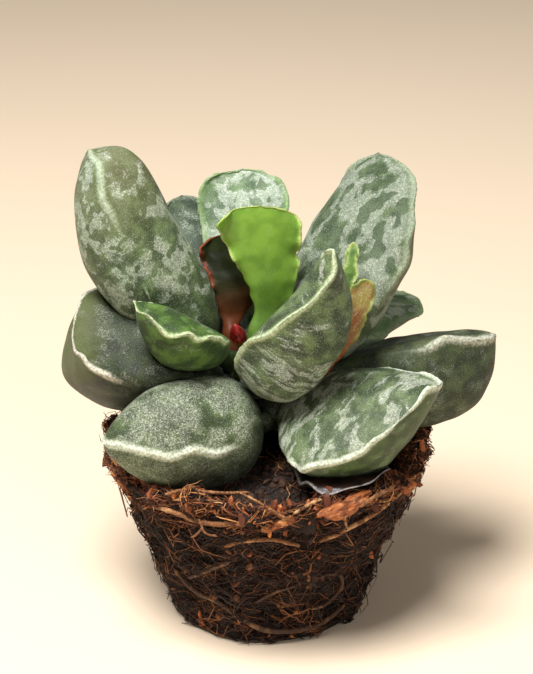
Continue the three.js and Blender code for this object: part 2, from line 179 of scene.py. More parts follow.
LEAVES = {
    "leaf_front_left": dict(
        base=(-1, -5, 32), tip=(-22.9, -17, 34.3), roll=4, bow=-0.4, swing=0.6, width=(7, 8.8),
        depth=(7.9, 8.6), shoulder=(2.8, 2.8), fullness=2.8, apex=((1.9, 1.4), (1.9, 1.4)),
        wedge=((1.9, 1.3), (1.9, 1.3)), neck=0.1, crease=0.3, ruffle=0.25,
        green=(64, 82, 34), dark=(42, 56, 24), silver=(164, 168, 148), frost=0.7, under=0.75, veil=0.14,
        patches=0.74, patch_size=4.6, spots=0.2, rim=(222, 226, 204),
    ),
    "leaf_centre": dict(
        base=(-1, -5, 38), tip=(8.9, -16, 62.6), roll=-17, twist=90, twist_lag=2, width=(7.6, 4.8),
        depth=(2.4, 8.5), thickest=0.4, shoulder=(2.4, 2.4), fullness=2.4, apex=((2.5, 1.15), (2, 1.15)),
        wedge=((1.5, 1.05), (1.8, 1.15)), neck=0.08, crease=0.1, ruffle=0.25, bead_width=0.4,
        green=(84, 108, 42), dark=(38, 54, 23), silver=(186, 192, 174), frost=0.9, veil=0.3, patches=0.24,
        foot_patches=1.0, patch_size=2.8, stretch=(2.4, 2.1, 0.6), spots=0.9, rim=(206, 216, 178),
    ),
    "leaf_front_right": dict(
        base=(2, -4.5, 33.6), tip=(17.4, -19.6, 38.3), roll=33, bow=0.2, width=(10.2, 11),
        depth=(3.2, 10.4), widest=0.64, thickest=0.45, shoulder=(1.7, 1.9), fullness=2.2,
        apex=((2.6, 1.6), (4.2, 2)), wedge=((1.6, 1.1), (2.4, 1.4)), crease=0.4, ruffle=0.2, skew=-0.35,
        lift=(1.5, -2.8), bead=0.26, bead_width=0.52, waver=0.55,
        green=(74, 96, 38), dark=(44, 62, 25), silver=(164, 170, 152), frost=0.84, under=0.35, veil=0.5,
        patches=0.42, foot_patches=0.75, patch_size=3.2, stretch=(1.8, 1.6, 0.7), spots=1.0,
        rim=(226, 230, 210),
    ),
    "leaf_small_left": dict(
        base=(-6, -3, 41), tip=(-18.5, -10, 52.8), roll=40, twist=-70, width=(2.4, 6.5), depth=(2.2, 5.4),
        widest=0.5, thickest=0.45, shoulder=(1.9, 1.9), fullness=1.9, apex=((1.8, 1.3), (2.5, 1.6)),
        wedge=((1.8, 1.2), (1.5, 1.1)), stalk=1.5, crease=0.2, ruffle=0.2, lift=(0, 1), rings=90,
        sides=104, bead_width=0.32, waver=0.7, waver_size=3.2,
        green=(80, 112, 34), dark=(40, 62, 22), silver=(152, 168, 128), frost=0.55, under=0.8, veil=0.08,
        patches=0.26, patch_size=2.6, spots=0.5, rim=(208, 216, 174),
    ),
    "leaf_tall_left": dict(
        base=(-6.8, 2.5, 39.5), tip=(-25.4, 4, 70.1), roll=24, twist=-10, bow=-2.8, width=(8.6, 6.9),
        depth=(7.8, 7), widest=0.5, thickest=0.48, shoulder=(2, 2), fullness=2, apex=((7, 2.7), (3, 1.8)),
        wedge=((5.5, 2.6), (2, 1.2)), crease=0.7, bead_width=0.42,
        green=(80, 102, 42), dark=(49, 66, 30), silver=(168, 176, 152), frost=0.84, veil=0.42,
        patches=0.52, patch_size=3.8, spots=0.95, rim=(198, 206, 178), rim_share=0.75,
        blush=(100, 96, 56), blush_from=0.55, blush_to=0.95, blush_amount=0.6,
    ),
    "leaf_tall_right": dict(
        base=(1, 3.5, 39), tip=(16.4, 14, 66.6), roll=4, swing=2.6, width=(13.4, 6.7), depth=(5, 7.6),
        widest=0.47, shoulder=(2.6, 1.6), fullness=2.2, apex=((2.5, 1.7), (2.8, 1.8)), lift=(1.4, 0),
        green=(60, 84, 34), dark=(40, 60, 26), silver=(142, 150, 132), frost=0.7, veil=0.72, patches=0.72,
        patch_size=4.6, stretch=(1, 1, 1.5), spots=1.0, rim=(170, 180, 150), rim_share=0.6,
    ),
    "leaf_right": dict(
        base=(1.5, 1.5, 35), tip=(33.9, 6, 40.8), roll=-28, width=(8.5, 8), depth=(2.8, 11), widest=0.5,
        thickest=0.55, shoulder=(1.7, 1.7), fullness=1.7, wedge=((2, 1.3), (3.2, 1.7)), crease=0.6,
        bead=0.25, bead_width=0.52,
        green=(66, 76, 40), dark=(40, 49, 29), silver=(138, 144, 128), frost=0.56, under=0.8, veil=0.2,
        patches=0.4, patch_size=4.4, rim=(206, 204, 184),
    ),
    "leaf_left": dict(
        base=(-6, 2, 34.5), tip=(-27.7, -4, 45.6), roll=-36, width=(9.8, 8.5), depth=(6.5, 11.8),
        widest=0.65, apex=((4.5, 2.2), (4.5, 2.2)), wedge=((1.7, 1.15), (3.5, 2.2)), crease=0.72,
        lift=(0, 3.8), bead=0.24, bead_width=0.44, waver=0.75, waver_size=3.4,
        # painted shade: this leaf's greens and silver are darkened for the shadow that leaf_tall_left and
        # leaf_small_left cast on it
        green=(42, 52, 24), dark=(24, 32, 17), silver=(112, 118, 100), frost=0.46, under=0.8, veil=0.14,
        patches=0.36, patch_size=4.2, rim=(214, 208, 190), blush=(106, 112, 56), blush_from=0.8,
        blush_amount=0.5,
    ),
    "young_leaf_bright": dict(
        kind="young", base=(-1.3, 0.6, 43.5), tip=(-0.8, 0, 63.2), up=(0.15, -1, 0.2), width=(5.8, 6.3),
        depth=(1, 1.2), widest=0.8, shoulder=(2.6, 0.82), fullness=1.5, apex=((2.4, 1.7), (5, 2.2)),
        stalk=1.5, rings=96, sides=84, bead_width=0.3, waver=0.3, crinkle=0.32, crinkle_size=2.4,
        green=(130, 170, 60), dark=(110, 150, 50), silver=(158, 186, 104), frost=0.22, patch_size=4.0,
        rim=(186, 200, 116), blush=(66, 100, 32), blush_from=0.5, blush_to=0.0, blush_amount=0.75,
    ),
    "young_leaf_red": dict(
        kind="young", base=(-5.2, 1.5, 43), tip=(-6.9, 5, 56.9), up=(0.4, -1, 0.2), width=(7, 3.5),
        depth=(1, 1.2), widest=0.7, shoulder=(1.4, 1.4), fullness=1.4, apex=((4, 2), (4, 2)), stalk=1.4,
        bead_width=0.4,
        green=(36, 42, 16), dark=(26, 30, 12), silver=(70, 72, 42), frost=0.05, rim=(138, 58, 36),
        blush=(98, 46, 24), blush_to=0.1, blush_amount=0.85, slot="leaf_young_red",
    ),
    "young_leaf_brown": dict(
        kind="young", base=(8, -5.2, 40.2), tip=(14.6, -8.3, 55), up=(-0.1, -1, 0.3), bow=1.2, swing=0.7,
        width=(1.3, 2.6), depth=(0.8, 1.2), widest=0.7, apex=((2.2, 1.5), (5, 2.2)), ruffle=0.45,
        crinkle=0.34,
        green=(136, 124, 60), dark=(122, 76, 38), silver=(172, 146, 90), frost=0.5, veil=0.5,
        patches=0.55, patch_size=0.9, stretch=(0.4, 1, 7), rim=(150, 168, 92), rim_share=0.9,
        blush=(150, 48, 22), blush_from=0.75, blush_to=0.1, blush_amount=0.9, slot="leaf_young_red",
    ),
    "young_leaf_sliver": dict(
        kind="young", base=(3, -1.8, 43), tip=(12.1, -5.2, 59.7), up=(0, -1, 0.2), bow=3.6, swing=2.8,
        width=(1.1, 1), depth=(0.7, 0.9), widest=0.8, apex=((3.5, 2), (3.5, 2)), ruffle=0.25, rings=80,
        sides=64, bead=0.12, waver=0.08, crinkle_size=1.5,
        green=(92, 124, 48), dark=(62, 90, 32), silver=(152, 176, 112), frost=0.24, rim=(182, 196, 122),
    ),
    "leaf_back_spoon": dict(
        base=(-3.5, 4.5, 41), tip=(-3.6, 15, 63.7), width=(6.5, 6.5), depth=(1.5, 4), widest=0.75,
        shoulder=(1.4, 1.4), fullness=1.4, apex=((3.5, 2), (3.5, 2)), stalk=1.6, cup=0.15, rings=84,
        sides=88, gather=0.4, waver=0.2, crinkle=0.12, crinkle_size=3.5,
        green=(78, 112, 46), dark=(54, 82, 36), silver=(196, 208, 190), frost=0.95, veil=0.5,
        patches=0.74, patch_size=3.4, spots=0.8, rim=(150, 178, 112), rim_share=0.6,
    ),
    "leaf_back_left": dict(
        kind="back", base=(-5.5, 5, 38), tip=(-13.1, 22, 57.2), width=(7, 6), depth=(4, 5), widest=0.55,
        apex=((2.6, 1.8), (2.6, 1.8)),
        green=(62, 78, 50), dark=(42, 56, 38), silver=(116, 128, 116), frost=0.7, patches=0.5,
        patch_size=3.6, spots=0.6, rim=(160, 168, 140), rim_share=0.6,
    ),
    "leaf_back_right": dict(
        kind="back", base=(1, 4.5, 37), tip=(23.2, 18, 42), width=(5.5, 5.5), depth=(3, 3.5), widest=0.65,
        apex=((3, 1.8), (3, 1.8)),
        # painted light: this leaf's greens and silver are brightened to make up for the shadow of
        # leaf_tall_right
        green=(108, 148, 70), dark=(74, 108, 50), silver=(198, 208, 188), frost=0.9, veil=0.6,
        patches=0.6, patch_size=2.8, spots=0.8, rim=(180, 196, 148), rim_share=0.7,
    ),
    "leaf_low_back": dict(
        kind="back", base=(-1.5, 5, 34.5), tip=(2, 26, 37.5), width=(7, 7.5), depth=(4.5, 5.5),
        widest=0.55, apex=((2.6, 1.7), (2.6, 1.7)),
        green=(70, 92, 46), dark=(44, 62, 34), silver=(156, 168, 150), frost=0.78, patches=0.55,
        patch_size=3.4, spots=0.8, rim=(190, 198, 168), rim_share=0.8,
    ),
    "leaf_low_back_left": dict(
        kind="back", base=(-6.5, 3.5, 34), tip=(-20, 20, 36), width=(7, 7), depth=(4.5, 6), widest=0.55,
        apex=((2.6, 1.7), (2.6, 1.7)),
        green=(70, 90, 46), dark=(44, 60, 34), silver=(154, 166, 148), frost=0.78, patches=0.5,
        patch_size=3.4, spots=0.6, rim=(194, 198, 172), rim_share=0.8,
    ),
    "old_leaf_dark": dict(
        kind="old", base=(5.5, -7, 28.3), tip=(13, -20.4, 29.4), width=(6.2, 7), depth=(1, 2.6),
        widest=0.7, apex=((2.4, 1.7), (2.4, 1.7)), stalk=1.2, crease=0.25, undulation=0.12, bead=0.1,
        bead_width=0.26, waver=0.15,
        # its pale margin is partly the old leaf's silvery wax and partly a painted highlight on its lit
        # edge
        green=(48, 24, 19), dark=(18, 9, 7), silver=(90, 80, 76), frost=0.1, veil=0.1, patches=0.25,
        patch_size=4.0, spots=0.3, rim=(188, 180, 180), rim_share=0.7,
    ),
}

# Roots and loose coir on the plug's wall: radius and points, each (bearing in degrees from +X, height)
ROOTS = {
    "root_circling": (0.75, [
        (221, 11.6), (231, 8.6), (246, 7.4), (258, 4.8), (268, 3), (283, 2.4), (300, 2.6), (316, 4.6),
    ]),
    "root_left_pale": (0.55, [(230, 10.8), (238, 12.4), (246, 14.6), (255, 16.8)]),
    "root_right_loop": (0.5, [(288, 11), (296, 13), (306, 11.6), (309, 8.6), (302, 6.4), (293, 6.2)]),
    "root_middle": (0.45, [(264, 8.4), (273, 10.6), (283, 11.8)]),
    "root_back_long": (0.6, [
        (40, 4), (56, 3.6), (72, 4), (88, 5.6), (104, 8), (120, 9.4), (136, 9.4), (150, 7.6),
    ]),
    "root_back_rising": (0.5, [(96, 12), (102, 15.4), (112, 18), (126, 19.6)]),
    "root_left_side": (0.5, [(168, 5), (178, 8.4), (186, 12.6), (198, 15)]),
    "root_right_side": (0.55, [(344, 6), (356, 9), (370, 10.6), (384, 14.4)]),
}
COIR_STRANDS = {
    "coir_strand_front": (0.35, [(226, 24.6), (238, 25), (250, 24.4), (262, 25.2)]),
    "coir_strand_middle": (0.3, [(254, 20), (262, 21.6), (272, 22), (282, 20.4)]),
    "coir_strand_right": (0.35, [(290, 20.6), (300, 22.2), (311, 23.6), (322, 25.4)]),
}

# Bark chips, each from start to end with its flat side looking along facing
BARK_CHIPS = {
    "bark_chip_front": dict(
        start=(7.2, -24, 26.5), end=(14.4, -19.2, 27.5), facing=(0.35, -0.7, 0.6), width=2.6,
        thickness=1.4,
    ),
    "bark_chip_middle": dict(
        start=(-1, -22.8, 23.6), end=(3.8, -23.9, 26.1), facing=(0.05, -1, -0.35), width=1.7,
        thickness=1.0,
    ),
    "bark_chip_right": dict(
        start=(20.4, -10.4, 23.4), end=(21.6, -6.6, 22.4), facing=(0.9, -0.35, -0.3), width=1.8,
        thickness=1.0,
    ),
    "bark_chip_back": dict(
        start=(2.2, 22.8, 23.2), end=(-4, 23, 24.8), facing=(0, 1, -0.3), width=2.2, thickness=1.2,
    ),
    "bark_chip_left": dict(
        start=(-20.3, -11.4, 24), end=(-22.7, -7.6, 25.9), facing=(-0.9, -0.4, -0.3), width=1.8,
        thickness=1.0,
    ),
}

# Longer straws that lie over the rim: radius and points in millimetres
RIM_STRAWS = [
    (0.26, [(-14.2, -19.6, 27.6), (-11.5, -19.6, 28.2), (-7.3, -20, 28.1), (-2.4, -19.4, 27.7)]),
    (0.2, [(-13, -20.6, 27.2), (-9.5, -21.2, 27.6), (-5.8, -21.4, 27.2)]),
    (0.2, [(-3.8, -19.6, 27.9), (-0.7, -22.5, 27.6), (1.8, -24.4, 26.9), (3.1, -24.6, 26.4)]),
    (0.24, [(3.6, -24, 26.9), (6.6, -22.2, 27.8), (9.2, -20.8, 27.9)]),
    (0.3, [(12.9, -21.4, 26.6), (15.1, -19.9, 27.4), (18, -16.8, 27.5)]),
    (0.16, [(10.6, -22.4, 26.6), (10.9, -22.6, 24.9), (11.2, -21.8, 23.4)]),
    (0.16, [(-9.4, -22.6, 25.4), (-8.6, -23.3, 23.6), (-6.9, -22.6, 22.6)]),
    (0.15, [(-8.9, -23.2, 24.4), (-9.9, -22.6, 22.8), (-10.6, -21.4, 21.8)]),
]


# Plain reckoning

def unit(vector):
    vector = np.asarray(vector, float)
    return vector / np.linalg.norm(vector, axis=-1, keepdims=True)


def smooth(start, end, x):
    share = np.clip((x - start) / (end - start), 0.0, 1.0)
    return share * share * (3.0 - 2.0 * share)


def lumps(points, size, seed):
    """Gentle unevenness, mostly between -1 and 1, with bumps about size apart."""
    rng = np.random.default_rng(seed)
    total = np.zeros(points.shape[:-1])
    for _ in range(WAVES):
        way = unit(rng.normal(size=3)) * 2.0 * math.pi / (size * rng.uniform(0.8, 1.7))
        total += np.cos(points @ way + rng.uniform(0.0, 2.0 * math.pi))
    return total / WAVE_HEIGHT


def wall_radius(height):
    share = np.clip(np.asarray(height, float) / PLUG_HEIGHT, 0.0, 1.0)
    return BASE_RADIUS + (RIM_RADIUS - BASE_RADIUS) * share**WALL_FLARE


def full_turn(sides):
    return 2 * math.pi * np.arange(sides) / sides


def run_of(points):
    """How far along a line each of its points lies."""
    return np.concatenate([[0.0], np.cumsum(np.linalg.norm(np.diff(points, axis=0), axis=1))])


def evenly(points, count):
    """Points at even steps along a line."""
    run = run_of(points)
    even = np.linspace(0.0, run[-1], count)
    return np.stack([np.interp(even, run, column) for column in points.T], axis=1)


def smooth_path(points, count):
    """Even points on a curve that passes through the given ones."""
    points = np.asarray(points, float)
    padded = np.vstack([2 * points[0] - points[1], points, 2 * points[-1] - points[-2]])
    spans = len(points) - 1
    place = np.linspace(0.0, spans, 24 * spans + 1)
    span = np.minimum(place.astype(int), spans - 1)
    u = (place - span)[:, None]
    a, b, c, d = (padded[span + k] for k in range(4))
    bend = (2 * a - 5 * b + 4 * c - d) * u**2 + (3 * b - a - 3 * c + d) * u**3
    return evenly(0.5 * (2 * b + (c - a) * u + bend), count)


# Meshes

def smooth_mesh(name, points, faces):
    mesh = bpy.data.meshes.new(name)
    mesh.from_pydata((np.asarray(points) * MM).tolist(), [], faces)
    mesh.polygons.foreach_set("use_smooth", [True] * len(mesh.polygons))
    return mesh


def show(name, data):
    thing = bpy.data.objects.new(name, data)
    bpy.context.scene.collection.objects.link(thing)
    return thing


def new_piece(name, points, faces, material, nodes=()):
    """A finished piece that rides on the plant. points are in millimetres."""
    mesh = smooth_mesh(name, points, faces)
    mesh.update()
    mesh.materials.append(material)
    piece = show(name, mesh)
    settle(piece, nodes)
    return piece


def settle(piece, nodes=()):
    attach(piece, "root")
    if nodes:
        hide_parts(*nodes)


def band(count, sides):
    """Faces between rings whose points are numbered ring by ring."""
    faces = []
    for i in range(count - 1):
        for j in range(sides):
            k = (j + 1) % sides
            faces.append((i * sides + j, (i + 1) * sides + j, (i + 1) * sides + k, i * sides + k))
    return faces


def ring_skin(rings, foot, top):
    """Points and faces of a closed skin of rings, with a pole at each end. Each ring runs so that
    the way from foot to top, crossed with the way round, points outwards."""
    count, sides = rings.shape[:2]
    points = np.vstack([rings.reshape(-1, 3), foot, top])
    faces = band(count, sides)
    bottom, crown = count * sides, count * sides + 1
    for j in range(sides):
        k = (j + 1) % sides
        faces.append((bottom, j, k))
        faces.append(((count - 1) * sides + j, crown, (count - 1) * sides + k))
    return points, faces


def way_out(rings):
    """Outward directions of a skin of rings."""
    round_way = np.roll(rings, -1, axis=1) - np.roll(rings, 1, axis=1)
    up_way = np.gradient(rings, axis=0)
    out = np.cross(up_way, round_way)
    length = np.linalg.norm(out, axis=-1, keepdims=True)
    return out / np.maximum(length, 1e-9)


def store(piece, name, values):
    kind = "FLOAT" if values.ndim == 1 else "FLOAT_VECTOR"
    field = "value" if values.ndim == 1 else "vector"
    attribute = piece.data.attributes.new(name, kind, "POINT")
    attribute.data.foreach_set(field, values.astype(np.float32).ravel())


def tube(path, radius, seed):
    """A tube with uneven thickness and rounded ends."""
    along = unit(np.gradient(path, axis=0))
    across = unit(np.cross(along, np.array([0.13, 0.21, 0.97])))
    other = np.cross(along, across)
    turn = full_turn(STRAND_SIDES)[None, :, None]
    share = np.linspace(0.0, 1.0, len(path))
    ends = np.minimum(share, 1 - share) * len(path)
    thick = radius * (1 - 0.5 * np.exp(-ends / STRAND_TAPER))
    section = across[:, None] * np.cos(turn) + other[:, None] * np.sin(turn)
    rings = path[:, None] + section * thick[:, None, None]
    uneven = radius * STRAND_UNEVEN * lumps(rings, radius * 3.5, seed)
    rings = rings + way_out(rings) * uneven[..., None]
    dome = along * radius * STRAND_DOME
    return ring_skin(rings, path[0] - dome[0], path[-1] + dome[-1])


# Node trees

class Flow:
    """A value in a node tree. Reckoning with it adds the nodes for that. A wide value is a vector
    or a colour."""

    def __init__(self, socket):
        self.socket = socket
        self.tree = socket.id_data
        self.wide = socket.type in ("VECTOR", "RGBA")

    def __getitem__(self, output):
        """Another output of the same node."""
        return Flow(self.socket.node.outputs[output])

    def __add__(self, other):
        return calc("ADD", self, other)

    def __sub__(self, other):
        return calc("SUBTRACT", self, other)

    def __rsub__(self, other):
        return calc("SUBTRACT", other, self)

    def __mul__(self, other):
        return calc("MULTIPLY", self, other)

    def __pow__(self, other):
        return calc("POWER", self, other)

    def __abs__(self):
        return calc("ABSOLUTE", self)


def feed(socket, value):
    if isinstance(value, Flow):
        value.tree.links.new(value.socket, socket)
    else:
        socket.default_value = value


def add(kind, feeds=(), tree=None, pick=0, **settings):
    """Adds a node, by default to the tree that its feeds come from, and gives one of its outputs."""
    feeds = dict(feeds)
    tree = tree or next(value.tree for value in feeds.values() if isinstance(value, Flow))
    node = tree.nodes.new(kind)
    for setting, value in settings.items():
        setattr(node, setting, value)
    for socket, value in feeds.items():
        feed(node.inputs[socket], value)
    return Flow(node.outputs[pick])


def calc(operation, *values):
    """Reckons with plain values or with wide ones. A wide value times a plain one is scaled by it."""
    wide = [isinstance(value, tuple) or getattr(value, "wide", False) for value in values]
    feeds = dict(enumerate(values))
    if not any(wide):
        return add("ShaderNodeMath", feeds, operation=operation)
    if operation == "MULTIPLY" and not wide[1]:
        operation = "SCALE"
        feeds = {0: values[0], 3: values[1]}
    return add("ShaderNodeVectorMath", feeds, operation=operation)


def fade(value, start, end, low=0.0, high=1.0, kind="SMOOTHSTEP"):
    feeds = {0: value, 1: start, 2: end, 3: low, 4: high}
    return add("ShaderNodeMapRange", feeds, interpolation_type=kind)


def blend(share, a, b, kind="MIX"):
    """Mixes two colours. One that is written as three numbers is from the paint chart."""
    a, b = (paint(*c) if isinstance(c, tuple) and len(c) == 3 else c for c in (a, b))
    return add("ShaderNodeMix", {0: share, 6: a, 7: b}, pick=2, data_type="RGBA", blend_type=kind)


def cloud(place, scale, detail=2.0, roughness=0.5, distortion=0.0, pick=0):
    feeds = {0: place, 2: scale, 3: detail, 4: roughness, 8: distortion}
    return add("ShaderNodeTexNoise", feeds, pick=pick)


def sway(place, scale, detail=2.0):
    """A cloud of directions."""
    return cloud(place, scale, detail, pick="Color") - (0.5, 0.5, 0.5)


def attribute(tree, name, pick="Vector"):
    return add("ShaderNodeAttribute", tree=tree, pick=pick, attribute_name=name)


def new_group(name, kind, made, **inputs):
    """A node group. inputs has the labels for each kind of socket, made the kind for each output."""
    tree = bpy.data.node_groups.new(name, kind)
    for socket, labels in inputs.items():
        for label in labels:
            tree.interface.new_socket(name=label, in_out="INPUT", socket_type="NodeSocket" + socket)
    for label, socket in made.items():
        tree.interface.new_socket(name=label, in_out="OUTPUT", socket_type="NodeSocket" + socket)
    given = {s.name: Flow(s) for s in tree.nodes.new("NodeGroupInput").outputs if s.name}
    return tree, given, tree.nodes.new("NodeGroupOutput").inputs


def new_material(name, place=None):
    """A material and the place of its shading: on the piece in metres, or from a named attribute."""
    material = bpy.data.materials.new(name)
    material.use_nodes = True
    if place:
        return material, attribute(material.node_tree, place)
    return material, add("ShaderNodeTexCoord", tree=material.node_tree, pick="Object")


def dress(material, color, roughness, height=None, distance=0.0, **inputs):
    """Feeds the material's shader."""
    shader = next(n for n in material.node_tree.nodes if n.type == "BSDF_PRINCIPLED")
    feeds = {label.replace("_", " "): value for label, value in inputs.items()}
    feeds.update({"Base Color": color, "Roughness": roughness})
    if height is not None:
        relief = {"Strength": 1.0, "Distance": distance, "Height": height}
        feeds["Normal"] = add("ShaderNodeBump", relief)
    for label, value in feeds.items():
        feed(shader.inputs[label], value)
    return material


# Leaf finish

def frosted_skin():
    """Green skin with silver patches, a web of fine wax strokes and a pale raised margin."""
    tree, given, result = new_group(
        "frosted skin", "ShaderNodeTree", dict(Color="Color", Wax="Float", Height="Float"),
        Vector=["Place", "Patch Scale"],
        Color=["Green", "Dark Green", "Silver", "Rim Color", "Blush"],
        Float=["Rim", "Blush Share", "Frost", "Patches", "Spots", "Rim Share", "Veil"],
    )
    place, rim, frost = given["Place"], given["Rim"], given["Frost"]
    green, dark, silver = given["Green"], given["Dark Green"], given["Silver"]
    drawn = (place + sway(place, 0.3) * 2.4) * given["Patch Scale"]
    dust = cloud(place, 4.4, 2.0, 0.65)
    gritty = dust - 0.5

    # silver patches with grainy edges, and dark spots left open in them
    field = gritty * 0.16 + cloud(drawn, 1.0, 3.0, 0.55)
    level = 0.66 - given["Patches"] * 0.32
    speck = gritty * 0.12 + cloud(drawn + (17.0, 5.0, 9.0), 2.1, 1.0, 0.4)
    open_spot = fade(speck, 0.53, 0.575) * given["Spots"]
    patch = fade(field - level, -0.045, 0.06) * (1.0 - open_spot)

    # wax strokes: the level lines of a fine cloud, broken up by its grain
    line = abs(cloud(place, 2.7, 1.5, 0.5, 0.9) - 0.5)
    breath = cloud(place, 0.42, 1.5)
    cover = (patch * 0.85 + fade(breath, 0.34, 0.7, 0.1, 0.34)) * frost
    cover = calc("MAXIMUM", cover, rim * 0.5)
    stroke = fade(line - cover * 0.085, 0.022, -0.018)
    fleck = fade(dust, 0.42, 0.6, 0.35, 1.0)
    stipple = fade(cloud(place, 6.5, 1.0), 0.56, 0.7, 0.0, frost * 0.4)
    strokes = calc("MAXIMUM", stroke * fleck * (cover * 0.92 + 0.02), stipple)
    veil = cover * given["Veil"]

    # margin: a narrow pale bead, ragged and sugary, with a greener skin beside it
    sugar = cloud(place, 2.6, 2.0, 0.6)
    crest = fade((sugar - 0.5) * 0.6 + rim, 0.12, 1.0)
    beside = fade(rim, 0.005, 0.25) * (1.0 - crest)

    ground = blend(fade(breath, 0.36, 0.64), dark, green)
    ground = blend(open_spot * 0.6, ground, dark)
    ground = blend(given["Blush Share"], ground, given["Blush"])
    ground = blend(beside * 0.5, ground, green)
    free = 1.0 - beside * 0.4
    color = blend(veil * free, ground, silver)
    color = blend(strokes * free, color, blend(0.5, silver, (226, 228, 214)))
    edge = blend(fade(sugar, 0.6, 0.36, 0.0, 0.45), given["Rim Color"], green)
    feed(result["Color"], blend(crest * given["Rim Share"], color, edge))
    feed(result["Wax"], calc("MAXIMUM", calc("MAXIMUM", strokes, veil), crest))
    feed(result["Height"], crest * (sugar * 1.6) + (strokes * 0.7 + dust * 0.3))
    return tree


def leaf_finish(name, leaf, skin):
    material, place = new_material(name, "leaf_place")
    rim = add("ShaderNodeSeparateXYZ", {0: attribute(place.tree, "leaf_zone")})
    along, upper = rim["Y"], rim["Z"]
    frost, patches = leaf["frost"], leaf["patches"]
    feeds = {
        "Place": place,
        "Rim": rim,
        "Green": paint(*leaf["green"]),
        "Dark Green": paint(*leaf["dark"]),
        "Silver": paint(*leaf["silver"]),
        "Rim Color": paint(*leaf["rim"]),
        "Blush": paint(*leaf["blush"]),
        "Frost": fade(upper, *UNDERSIDE, frost * leaf["under"], frost),
        "Patches": fade(along, 0.0, 0.6, patches + leaf["foot_patches"], patches),
        "Patch Scale": tuple(1.0 / (leaf["patch_size"] * longer) for longer in leaf["stretch"]),
        "Spots": leaf["spots"],
        "Rim Share": leaf["rim_share"],
        "Veil": leaf["veil"],
    }
    blush = leaf["blush_amount"]
    if blush:
        feeds["Blush Share"] = fade(along, leaf["blush_from"], leaf["blush_to"], 0.0, blush)
    coat = add("ShaderNodeGroup", feeds, pick="Color", node_tree=skin)
    # painted shade: undersides are tinted a little cooler and darker, to offset the warm light that the
    # floor throws up on them
    color = blend(fade(upper, *UNDERSIDE, 1.0, 0.0), coat, UNDER_SHADE_TINT, "MULTIPLY")
    # painted shade: the foot of a grown leaf is darkened, as if in the shadow of the leaves over it
    if leaf["kind"] != "young":
        color = blend(fade(along, 0.24, 0.03, 0.0, 0.8), color, FOOT_PAINTED_SHADE, "MULTIPLY")
    roughness = fade(coat["Wax"], 0.0, 1.0, leaf["bare"], leaf["waxed"], "LINEAR")
    inputs = dict(
        Subsurface_Weight=leaf["glow"], Subsurface_Radius=(0.5, 1.0, 0.2), Subsurface_Scale=0.0012,
        Specular_IOR_Level=leaf["shine"],
    )
    if leaf["sheen"]:
        inputs.update(Sheen_Weight=leaf["sheen"], Sheen_Roughness=0.4, Sheen_Tint=paint(225, 232, 222))
    return dress(material, color, roughness, coat["Height"], 0.00009, **inputs)


# Leaf shapes

def swell(t, peak, full, tip):
    """0 to 1 along the spine, with its peak of 1 at the share called peak."""
    blunt, round_off = tip
    rise = (1 - np.clip(1 - t / peak, 0, 1) ** full) ** (1 / full)
    fall = (1 - np.clip((t - peak) / (1 - peak), 0, 1) ** blunt) ** (1 / round_off)
    return np.where(t < peak, rise, fall)


def bezier(a, b, c, u):
    place = (1 - u) ** 2 * a + 2 * u * (1 - u) * b + u**2 * c
    return place, unit(2 * (1 - u) * (b - a) + 2 * u * (c - b))


def leaf_axes(leaf):
    """The leaf's straight directions: right margin, upper face, tip."""
    along = unit(np.subtract(leaf["tip"], leaf["base"]))
    upper = np.array(leaf["up"], float)
    upper = unit(upper - along * (upper @ along))
    roll = math.radians(leaf["roll"])
    upper = upper * math.cos(roll) + np.cross(along, upper) * math.sin(roll)
    return np.cross(along, upper), upper, along


def leaf_spine(leaf, t):
    """Places along the spine with its own directions. t is -1 at the stem, 0 where the blade
    starts and 1 at the tip."""
    right, upper, _ = leaf_axes(leaf)
    base = np.array(leaf["base"], float)
    tip = np.array(leaf["tip"], float)
    middle = (base + tip) / 2 + upper * 2 * leaf["bow"] + right * 2 * leaf["swing"]
    joint = np.array([*STEM_PLACE, min(base[2] - 0.5, STEM_TOP - 1.5)])
    knee = base - unit(middle - base) * np.linalg.norm(joint - base) / 2
    u = np.clip(t, 0, 1)[..., None]
    v = np.clip(1 + t, 0, 1)[..., None]
    blade, blade_way = bezier(base, middle, tip, u)
    stalk, stalk_way = bezier(joint, knee, base, v)
    on_stalk = (t < 0)[..., None]
    place = np.where(on_stalk, stalk, blade)
    way = np.where(on_stalk, stalk_way, blade_way)
    own_upper = unit(upper - way * (way @ upper)[..., None])
    turn = np.radians(leaf["twist"]) * u ** leaf["twist_lag"]
    own_upper = own_upper * np.cos(turn) + np.cross(way, own_upper) * np.sin(turn)
    return place, way, own_upper, np.cross(way, own_upper)


